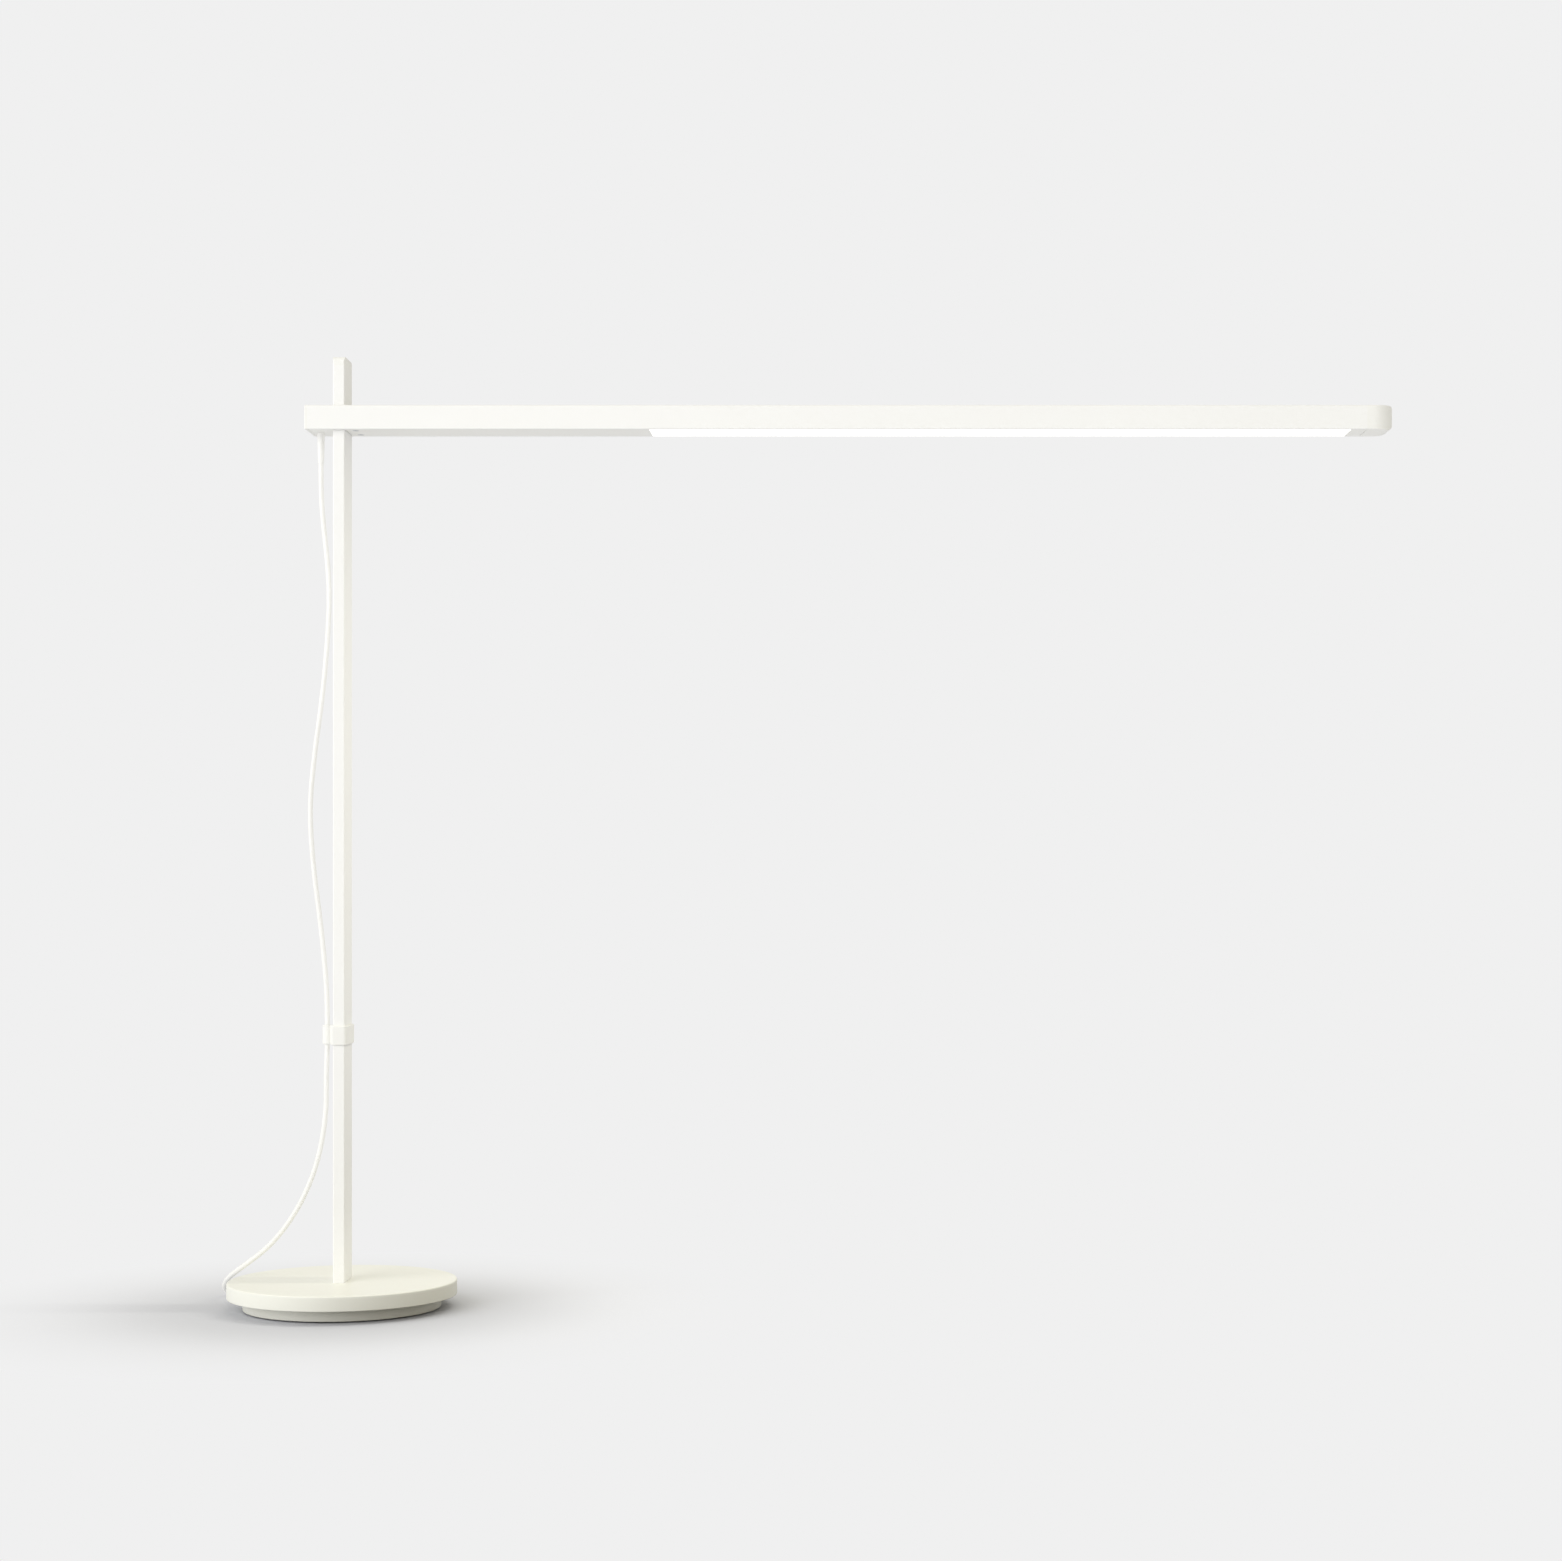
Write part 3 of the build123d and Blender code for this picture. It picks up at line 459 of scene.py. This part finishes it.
def tube_mesh(name, line, radius, sides):
    """A closed tube: a circle of the radius, across the line's direction, at each of its points.

    The circle's first axis is what is left of a guide direction across the line. The guide turns from +Y
    where the cord hangs to +Z where it lies, in step with the height, so it never points along the line.
    """
    way = np.gradient(line, axis=0)
    way /= np.linalg.norm(way, axis=1, keepdims=True)
    turn = np.clip((GUIDE_TURN_TOP - line[:, 2:]) / GUIDE_TURN_HEIGHT, 0, 1)
    guide = (1 - turn) * np.array([0.0, 1.0, 0.0]) + turn * np.array([0.0, 0.0, 1.0])
    first = guide - np.sum(guide * way, axis=1, keepdims=True) * way
    first /= np.linalg.norm(first, axis=1, keepdims=True)
    second = np.cross(way, first)
    angle = np.linspace(0, 2 * math.pi, sides, endpoint=False)
    rings = line[:, None, :] + radius * (
        np.cos(angle)[None, :, None] * first[:, None, :] + np.sin(angle)[None, :, None] * second[:, None, :]
    )
    return ring_mesh(name, [rings])


def ring_mesh(name, stacks, closed=False):
    """A closed surface through each stack of rings, which have equally many points.

    It joins each ring to the next, and ends in a flat face on the first and on the last. A closed stack has
    no such faces, and its last ring joins its first.
    """
    points = []
    faces = []
    for rings in stacks:
        count, sides, _ = rings.shape
        grid = np.arange(count * sides).reshape(count, sides) + sum(len(earlier) for earlier in points)
        points.append(rings.reshape(-1, 3))
        if closed:
            grid = np.vstack([grid, grid[:1]])
        else:
            faces += [grid[0, ::-1].tolist(), grid[-1].tolist()]
        after = np.roll(grid, -1, axis=1)
        faces += np.stack([grid[:-1], after[:-1], after[1:], grid[1:]], axis=-1).reshape(-1, 4).tolist()
    mesh = bpy.data.meshes.new(name)
    mesh.from_pydata(np.vstack(points), [], faces)
    mesh.polygons.foreach_set("use_smooth", np.ones(len(faces), dtype=bool))
    mesh.update()
    return mesh


def turned_rings(section, sides, middle=(0.0, 0.0)):
    """Level circles about an upright axis, one for each (r, z) of a section in millimetres.

    x = middle x + r cos a, y = middle y + r sin a, for a from nought to a full turn.
    """
    angle = np.linspace(0, 2 * math.pi, sides, endpoint=False)
    radius, height = np.array(section).T[:, :, None]
    across = middle[0] + radius * np.cos(angle)
    deep = middle[1] + radius * np.sin(angle)
    return np.stack([across, deep, height + 0 * angle], axis=-1) * MM


def arc(middle, radius, start, end):
    """Points on part of a circle in a section, between two angles in degrees."""
    angles = np.radians(np.linspace(start, end, EDGE_POINTS))
    return [
        (middle[0] + radius * math.cos(angle), middle[1] + radius * math.sin(angle)) for angle in angles
    ]


def edge_section(radius, low, high, lower_radius, upper_radius):
    """Section of a round plate's outside, from its underside to its top, with rounded edges.

    Each rounded edge has a point a little way along the flat beside it, so that the flat shades as flat. A
    radius of nought leaves the edge sharp.
    """
    section = [(radius - 2 * lower_radius, low)]
    section += arc((radius - lower_radius, low + lower_radius), lower_radius, -90, 0)
    section += [(radius, low + 2 * lower_radius), (radius, high - 2 * upper_radius)]
    if upper_radius:
        section += arc((radius - upper_radius, high - upper_radius), upper_radius, 0, 90)
        section += [(radius - 2 * upper_radius, high)]
    return section


def seat_rings(low, high):
    """The post's outline, a rectangle with rounded corners, at two heights in millimetres."""
    half_width = SEAT_SIZE[0] / 2 - SEAT_CORNER_RADIUS
    half_depth = SEAT_SIZE[1] / 2 - SEAT_CORNER_RADIUS
    signs = [(1, 1), (-1, 1), (-1, -1), (1, -1)]
    outline = []
    for quarter, (side, end) in enumerate(signs):
        corner = (side * half_width, end * half_depth)
        outline += arc(corner, SEAT_CORNER_RADIUS, 90 * quarter, 90 * quarter + 90)
    return np.array([[(x, y, height) for x, y in outline] for height in (low, high)]) * MM


def screw_rings(middle, low, high, sides):
    """A countersunk screw with its head down, in millimetres, and a hexagonal socket in the head.

    The socket's radius is the distance to its flats divided by cos b, for b the angle from the middle of
    the nearest flat.
    """
    head, sunk = SLIDER_SCREW_HEAD
    flat, depth = SOCKET_SIZE
    section = [(flat / 2, low + depth), (flat / 2, low), (head, low), (SLIDER_SCREW_RADIUS, low + sunk)]
    rings = turned_rings([*section, (SLIDER_SCREW_RADIUS, high)], sides, middle)
    angle = np.linspace(0, 2 * math.pi, sides, endpoint=False)
    sixth = math.pi / 3
    from_flat = (angle + sixth / 2) % sixth - sixth / 2
    axis = np.array(middle) * MM
    rings[:2, :, :2] = axis + (rings[:2, :, :2] - axis) / np.cos(from_flat)[:, None]
    return rings


def carved(mesh, cutters):
    """The mesh with each cutter taken out of it."""
    collection = bpy.context.scene.collection.objects
    solid = bpy.data.objects.new(mesh.name, mesh)
    tools = [bpy.data.objects.new("cutter", cutter) for cutter in cutters]
    for item in [solid, *tools]:
        collection.link(item)
    for tool in tools:
        cut = solid.modifiers.new("cut", "BOOLEAN")
        cut.operation = "DIFFERENCE"
        cut.solver = "EXACT"
        cut.object = tool
    view = bpy.context.evaluated_depsgraph_get()
    result = bpy.data.meshes.new_from_object(solid.evaluated_get(view))
    for item in [solid, *tools]:
        bpy.data.objects.remove(item)
    name = mesh.name
    for used in [mesh, *cutters]:
        bpy.data.meshes.remove(used)
    result.name = name
    return result


def cord_settings():
    return bpy.context.scene.lamp_cord


def base_settings():
    return bpy.context.scene.lamp_base


def finish_settings():
    return bpy.context.scene.lamp_finish


def stage_settings():
    return bpy.context.scene.lamp_stage


def add_piece(context, mesh, material, body):
    """A new piece with the mesh's name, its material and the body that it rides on."""
    mesh.set_sharp_from_angle(angle=base_settings().sharp_angle)
    mesh.materials.append(material)
    piece = bpy.data.objects.new(mesh.name, mesh)
    context.scene.collection.objects.link(piece)
    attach(piece, body)
    return piece


def metres(point):
    """A point in millimetres, in metres."""
    return tuple(value * MM for value in point)


class LampCordSettings(PropertyGroup):
    """Sizes of the cord."""

    diameter: FloatProperty(
        name="Diameter", description="Across the cord's sheath", default=0.004, unit="LENGTH"
    )
    hanging_length: FloatProperty(
        name="Hanging length", description="From the grommet to the clip", default=0.447, unit="LENGTH"
    )
    laid_length: FloatProperty(
        name="Laid length", description="From the clip to the plug", default=1.32, unit="LENGTH"
    )
    sides: IntProperty(name="Sides", description="Flats round the cord", default=16, min=6)
    steps: IntProperty(name="Steps", description="Points between two points of the route", default=8, min=2)


class LampBaseSettings(PropertyGroup):
    """Fineness of the turned pieces."""

    sides: IntProperty(
        name="Sides", description="Flats round the disc and the foot plate", default=288, min=24
    )
    hole_sides: IntProperty(name="Hole sides", description="Flats round a hole", default=64, min=12)
    screw_sides: IntProperty(name="Screw sides", description="Flats round a screw", default=48, min=12)
    sharp_angle: FloatProperty(
        name="Sharp angle",
        description="Edges sharper than this shade as corners",
        default=0.6,
        subtype="ANGLE",
    )


class LampFinishSettings(PropertyGroup):
    """Colours of the finishes."""

    coat: FloatVectorProperty(
        name="Coat", description="Powder coat of the metal", subtype="COLOR", default=(0.938, 0.937, 0.924)
    )
    # The base's coat is a darker, warmer copy of the white coat: painted shade for the shade that falls on
    # the base
    base: FloatVectorProperty(
        name="Base", description="Powder coat of the base", subtype="COLOR", default=(0.91, 0.91, 0.84)
    )
    moulding: FloatVectorProperty(
        name="Moulding", description="Plastic caps and clip", subtype="COLOR", default=(0.93, 0.928, 0.9)
    )
    sheath: FloatVectorProperty(
        name="Sheath", description="The cord and its plug", subtype="COLOR", default=(0.95, 0.947, 0.928)
    )
    glow: FloatProperty(name="Glow", description="Brightness of the diffuser", default=0.7, min=0.0)


class LampStageSettings(PropertyGroup):
    """Camera and light."""

    eye: FloatVectorProperty(
        name="Eye",
        description="Where the camera stands",
        subtype="TRANSLATION",
        default=(0.4295, -2.3, 0.3474),
    )
    focal_pixels: FloatProperty(
        name="Focal length", description="Focal length in pixels of the photograph", default=2900.0
    )
    axis_pixel: FloatVectorProperty(
        name="Axis pixel",
        description="Pixel of the photograph that the camera points at",
        size=2,
        default=(884.0, 870.0),
    )
    backdrop: FloatProperty(name="Backdrop", description="Grey behind the lamp", default=0.871)
    key: FloatProperty(
        name="Key", description="Power of the large lamp at the front left", default=314.0, unit="POWER"
    )
    strip: FloatProperty(
        name="Strip", description="Power of the light that the diffuser gives", default=1.35, unit="POWER"
    )
    ambient: FloatVectorProperty(
        name="Ambient", description="Light from all round", subtype="COLOR", default=(0.68, 0.657, 0.577)
    )
    paper: FloatVectorProperty(
        name="Paper", description="The floor by the base", subtype="COLOR", default=(0.88, 0.895, 0.97)
    )


class LAMP_OT_cord(Operator):
    """Hang the cord from the grommet to the clip, and lay it from there to its coil and plug"""

    bl_idname = "lamp.cord"
    bl_label = "Cord"

    def execute(self, context):
        sheath = sheath_finish("cord_sheath", finish_settings().sheath)
        tip = metres(HANGING_ROUTE[0])
        clip = metres(HANGING_ROUTE[-1])
        hanging, line = self.tube(context, "hanging_cord", np.array(HANGING_ROUTE), sheath)
        keep = 1 - ARM_TRAVEL * MM / (tip[2] - clip[2])
        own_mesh(hanging)
        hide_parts("cord_hang")
        laid, line = self.tube(context, "laid_cord", laid_points(), sheath)
        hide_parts("cord_drop", "cord_coil", "cord_tail")
        return {"FINISHED"}

    def tube(self, context, name, points, sheath):
        """A piece of cord on the spline of the points, in millimetres, with the line that it follows."""
        settings = cord_settings()
        line = spline_points(points * MM, settings.steps)
        mesh = tube_mesh(name, line, settings.diameter / 2, settings.sides)
        return add_piece(context, mesh, sheath, "turntable"), line


class LAMP_OT_base(Operator):
    """Turn the disc and the foot plate with smooth edges"""

    bl_idname = "lamp.base"
    bl_label = "Base"

    def execute(self, context):
        # Painted shade: the base's colour is a darker, warmer copy of the white coat
        coat = coated_finish("coated_steel", tuple(finish_settings().base), roughness=0.46, gloss=0.15)
        disc = add_piece(context, self.disc(), coat, "turntable")
        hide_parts("base_disc")
        foot = add_piece(context, self.foot(), coat, "foot")
        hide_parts("foot_plate")
        return {"FINISHED"}

    def disc(self):
        """A round plate with the post's seat in its top, and holes for the bolt and the screws below."""
        settings = base_settings()
        low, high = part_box("base_disc")
        radius, bottom, top = high[0] / MM, low[2] / MM, high[2] / MM
        outside = edge_section(radius, bottom, top, DISC_LOWER_EDGE_RADIUS, DISC_EDGE_RADIUS)
        plate = ring_mesh("turned_disc", [turned_rings(outside, settings.sides)])
        hole = [(THREAD_HOLE[0], bottom - CUT_PAST), (THREAD_HOLE[0], bottom + THREAD_HOLE[1])]
        step = [
            (SCREW_HEAD_HOLE[0], bottom - CUT_PAST),
            (SCREW_HEAD_HOLE[0], bottom + SCREW_HEAD_HOLE[1]),
            (SCREW_HOLE[0], bottom + SCREW_HEAD_HOLE[1]),
            (SCREW_HOLE[0], bottom + SCREW_HOLE[1]),
        ]
        places = [(0.0, side * SCREW_SPACING / 2) for side in (-1, 1)]
        cutters = [seat_rings(top - SEAT_DEPTH, top + CUT_PAST), turned_rings(hole, settings.hole_sides)]
        cutters += [turned_rings(step, settings.hole_sides, place) for place in places]
        return carved(plate, [ring_mesh("hole", [rings]) for rings in cutters])

    def foot(self):
        """A round plate with the pad's recess below, the bolt's way through and the glide ring's groove."""
        low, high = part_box("foot_plate")
        outside = edge_section(high[0] / MM, low[2] / MM, high[2] / MM, FOOT_EDGE_RADIUS, 0.0)
        rings = turned_rings(outside + FOOT_INSIDE, base_settings().sides)
        return ring_mesh("turned_foot", [rings], closed=True)


class LAMP_OT_screws(Operator):
    """Put the countersunk screws under the arm"""

    bl_idname = "lamp.screws"
    bl_label = "Screws"

    def execute(self, context):
        low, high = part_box("slider_screws")
        middle = (low[0] + high[0]) / 2 / MM
        reach = high[1] / MM - SLIDER_SCREW_HEAD[0]
        ends = (low[2] / MM, high[2] / MM)
        sides = base_settings().screw_sides
        stacks = [screw_rings((middle, side), *ends, sides) for side in (-reach, reach)]
        zinc = metal_finish("zinc_steel", (0.62, 0.63, 0.65), roughness=0.32)
        screws = add_piece(context, ring_mesh("socket_screws", stacks), zinc, "arm")
        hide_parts("slider_screws")
        return {"FINISHED"}


class LAMP_OT_finishes(Operator):
    """Give every CAD piece its finish"""

    bl_idname = "lamp.finishes"
    bl_label = "Finishes"

    def execute(self, context):
        colors = finish_settings()
        coat = tuple(colors.coat)
        moulding = tuple(colors.moulding)
        sheath = tuple(colors.sheath)
        made = {
            "coated_aluminium": coated_finish("coated_aluminium", coat, roughness=0.52, gloss=0.06),
            "moulded_white": moulded_finish("moulded_white", moulding, roughness=0.45),
            "milky_diffuser": diffuser_finish("milky_diffuser", (0.94, 0.94, 0.92), colors.glow),
            "bright_reflector": moulded_finish("bright_reflector", (0.95, 0.95, 0.95), roughness=0.3),
            "bearing_plastic": moulded_finish("bearing_plastic", (0.8, 0.8, 0.76), roughness=0.5),
            "zinc_steel": bpy.data.materials["zinc_steel"],
            "circuit_board": board_finish("circuit_board", (0.86, 0.87, 0.86), (0.7, 0.68, 0.6)),
            "led_phosphor": moulded_finish("led_phosphor", (0.93, 0.8, 0.3), roughness=0.25),
            "dark_moulding": moulded_finish("dark_moulding", (0.035, 0.035, 0.038), roughness=0.4),
            "insulated_lead": sheath_finish("insulated_lead", (0.86, 0.86, 0.83)),
            "foot_rubber": moulded_finish("foot_rubber", (0.05, 0.05, 0.05), roughness=0.75, grain=900.0),
            "cord_sheath": bpy.data.materials["cord_sheath"],
            "soft_grommet": moulded_finish("soft_grommet", sheath, roughness=0.55, grain=1500.0),
            "strap_plastic": moulded_finish("strap_plastic", (0.8, 0.8, 0.77), roughness=0.4),
            "plug_moulding": moulded_finish("plug_moulding", sheath, roughness=0.5, grain=1500.0),
            "nickel_pins": metal_finish("nickel_pins", (0.75, 0.73, 0.68), roughness=0.2),
        }
        for finish, nodes in NODE_FINISH.items():
            for node in nodes:
                for slot in frame["nodes"][node].material_slots:
                    slot.material = made[finish]
        return {"FINISHED"}


class LAMP_OT_stage(Operator):
    """Set up the floor, the light and the camera"""

    bl_idname = "lamp.stage"
    bl_label = "Stage"

    def execute(self, context):
        settings = stage_settings()
        self.floor(context, settings)
        self.sky(context, settings)
        self.key_lamp(context, settings)
        self.strip_lamp(context, settings)
        self.camera(context, settings)
        context.scene.view_settings.view_transform = "Standard"
        return {"FINISHED"}

    def floor(self, context, settings):
        """A wide flat sheet, matt by the base so that it takes the lamp's shade, and even grey further out.

        The share of the matt sheet is a smooth step of the distance from the base, so no edge shows. Close
        to the base the sheet is painted darker, a painted shadow round it. At the base's right, the side
        away from the large lamp, light that bounces sees a painted dark patch, painted shade that sends
        less light up there. From below it is clear, and it lies a hair under the foot pad.
        """
        half = FLOOR_HALF_SIZE
        level = FLOOR_LEVEL
        corners = [(-half, -half, level), (half, -half, level), (half, half, level), (-half, half, level)]
        mesh = bpy.data.meshes.new("floor")
        mesh.from_pydata(corners, [], [(0, 1, 2, 3)])
        finish = Finish("floor_paper")
        paper = settings.paper
        place = finish.position()
        reach = finish.node("ShaderNodeVectorMath", {"operation": "LENGTH"}, {0: place}, "Value")
        near = self.fade(finish, reach, *MATT_FADE)
        shade = self.fade(finish, reach, *PAINTED_SHADOW_FADE)
        ends = {0: place, 1: BOUNCE_SHADE_CENTER}
        aside = finish.node("ShaderNodeVectorMath", {"operation": "DISTANCE"}, ends, "Value")
        bounce_shade = self.fade(finish, aside, *BOUNCE_SHADE_FADE)
        even = finish.node("ShaderNodeEmission", sockets={"Color": self.grey(settings), "Strength": 1.0})
        # Painted shadow: the sheet that the camera sees is painted darker close to the base
        shown = finish.mix(shade, tint(paper, FAR_TINT), tint(paper, PAINTED_SHADOW_TINT))
        matt = finish.node("ShaderNodeBsdfDiffuse", sockets={"Color": shown})
        seen = finish.node("ShaderNodeMixShader", sockets={0: near, 1: even, 2: matt})
        # Painted shade: light that bounces sees a dark patch at the base's right
        sent = finish.mix(bounce_shade, tint(paper, 1.0), BOUNCE_SHADE_COLOR)
        bounce = finish.node("ShaderNodeBsdfDiffuse", sockets={"Color": sent})
        direct = self.seen_directly(finish)
        top = finish.node("ShaderNodeMixShader", sockets={0: direct, 1: bounce, 2: seen})
        below = finish.node("ShaderNodeNewGeometry", output="Backfacing")
        clear = finish.node("ShaderNodeBsdfTransparent")
        finish.node_output(finish.node("ShaderNodeMixShader", sockets={0: below, 1: top, 2: clear}))
        mesh.materials.append(finish.material)
        floor = bpy.data.objects.new("floor", mesh)
        context.scene.collection.objects.link(floor)

    def grey(self, settings):
        """The colour behind the lamp, as RGBA."""
        return (settings.backdrop,) * 3 + (1.0,)

    def fade(self, finish, reach, inner, outer):
        """A smooth step from one at the inner distance to nought at the outer."""
        edges = {"From Min": inner, "From Max": outer, "To Min": 1.0, "To Max": 0.0, "Value": reach}
        return finish.node("ShaderNodeMapRange", {"interpolation_type": "SMOOTHSTEP"}, edges)

    def seen_directly(self, finish):
        """One where a ray comes from the camera or by way of a mirror or glass, and nought elsewhere."""
        path = finish.node("ShaderNodeLightPath", output="Is Camera Ray")
        outputs = path.socket.node.outputs
        glossy = Wire(finish, outputs["Is Glossy Ray"])
        through = Wire(finish, outputs["Is Transmission Ray"])
        return path.math("MAXIMUM", path, glossy.math("MAXIMUM", glossy, through))

    def sky(self, context, settings):
        """Even light all round, with the backdrop's grey where the camera or a mirror sees it."""
        world = bpy.data.worlds.new("studio")
        context.scene.world = world
        world.use_nodes = True
        sky = Finish.within(world.node_tree)
        around = tuple(settings.ambient) + (1.0,)
        seen = sky.node("ShaderNodeBackground", sockets={"Color": self.grey(settings)})
        lit = sky.node("ShaderNodeBackground", sockets={"Color": around})
        shown = sky.node("ShaderNodeMixShader", sockets={0: self.seen_directly(sky), 1: lit, 2: seen})
        sky.node_output(shown, "ShaderNodeOutputWorld")

    def key_lamp(self, context, settings):
        """One large soft light at the front left, turned to the middle of the object."""
        lamp = bpy.data.lights.new("key", "AREA")
        lamp.energy = settings.key
        lamp.color = KEY_COLOR
        lamp.size = KEY_SIZE
        key = bpy.data.objects.new("key", lamp)
        key.location = KEY_PLACE
        aim = Vector(KEY_AIM) - key.location
        key.rotation_euler = aim.to_track_quat("-Z", "Y").to_euler()
        context.scene.collection.objects.link(key)

    def strip_lamp(self, context, settings):
        """The diffuser's light, a strip as large as its face. The diffuser carries it as the arm moves."""
        low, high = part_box("diffuser")
        strip = bpy.data.lights.new("strip", "AREA")
        strip.shape = "RECTANGLE"
        strip.size = high[0] - low[0]
        strip.size_y = high[1] - low[1]
        strip.energy = settings.strip
        strip.color = STRIP_COLOR
        under = bpy.data.objects.new("strip", strip)
        under.location = ((low[0] + high[0]) / 2, 0.0, low[2] - STRIP_GAP)
        under.visible_camera = False
        under.parent = frame["nodes"]["diffuser"]
        context.scene.collection.objects.link(under)

    def camera(self, context, settings):
        """A level camera whose axis meets the photograph off its middle, so the frame is shifted."""
        lens = bpy.data.cameras.new("camera")
        lens.sensor_width = SENSOR_WIDTH
        lens.lens = settings.focal_pixels * SENSOR_WIDTH / PHOTO_WIDTH
        lens.shift_x = (PHOTO_WIDTH / 2 - settings.axis_pixel[0]) / PHOTO_WIDTH
        lens.shift_y = (settings.axis_pixel[1] - PHOTO_HEIGHT / 2) / PHOTO_WIDTH
        lens.clip_end = CAMERA_REACH
        camera = bpy.data.objects.new("camera", lens)
        camera.location = settings.eye
        camera.rotation_euler = (math.pi / 2, 0.0, 0.0)
        context.scene.collection.objects.link(camera)
        context.scene.camera = camera


class LAMP_PT_panel(Panel):
    """The lamp's operators and settings"""

    bl_label = "Sliding Arm Lamp"
    bl_idname = "LAMP_PT_panel"
    bl_space_type = "VIEW_3D"
    bl_region_type = "UI"
    bl_category = "Lamp"

    def draw(self, context):
        for operator in OPERATORS:
            self.layout.operator(operator.bl_idname)
        for group in (cord_settings(), base_settings(), finish_settings(), stage_settings()):
            for name in group.__annotations__:
                self.layout.prop(group, name)


SETTINGS = {
    "lamp_cord": LampCordSettings,
    "lamp_base": LampBaseSettings,
    "lamp_finish": LampFinishSettings,
    "lamp_stage": LampStageSettings,
}
OPERATORS = [LAMP_OT_cord, LAMP_OT_base, LAMP_OT_screws, LAMP_OT_finishes, LAMP_OT_stage]


def register():
    for group in [*SETTINGS.values(), *OPERATORS, LAMP_PT_panel]:
        bpy.utils.register_class(group)
    for name, group in SETTINGS.items():
        setattr(bpy.types.Scene, name, PointerProperty(type=group))


def unregister():
    for name in SETTINGS:
        delattr(bpy.types.Scene, name)
    for group in reversed([*SETTINGS.values(), *OPERATORS, LAMP_PT_panel]):
        bpy.utils.unregister_class(group)


def main():
    register()
    bpy.ops.lamp.cord()
    bpy.ops.lamp.base()
    bpy.ops.lamp.screws()
    bpy.ops.lamp.finishes()
    bpy.ops.lamp.stage()


if __name__ == "__main__":
    main()
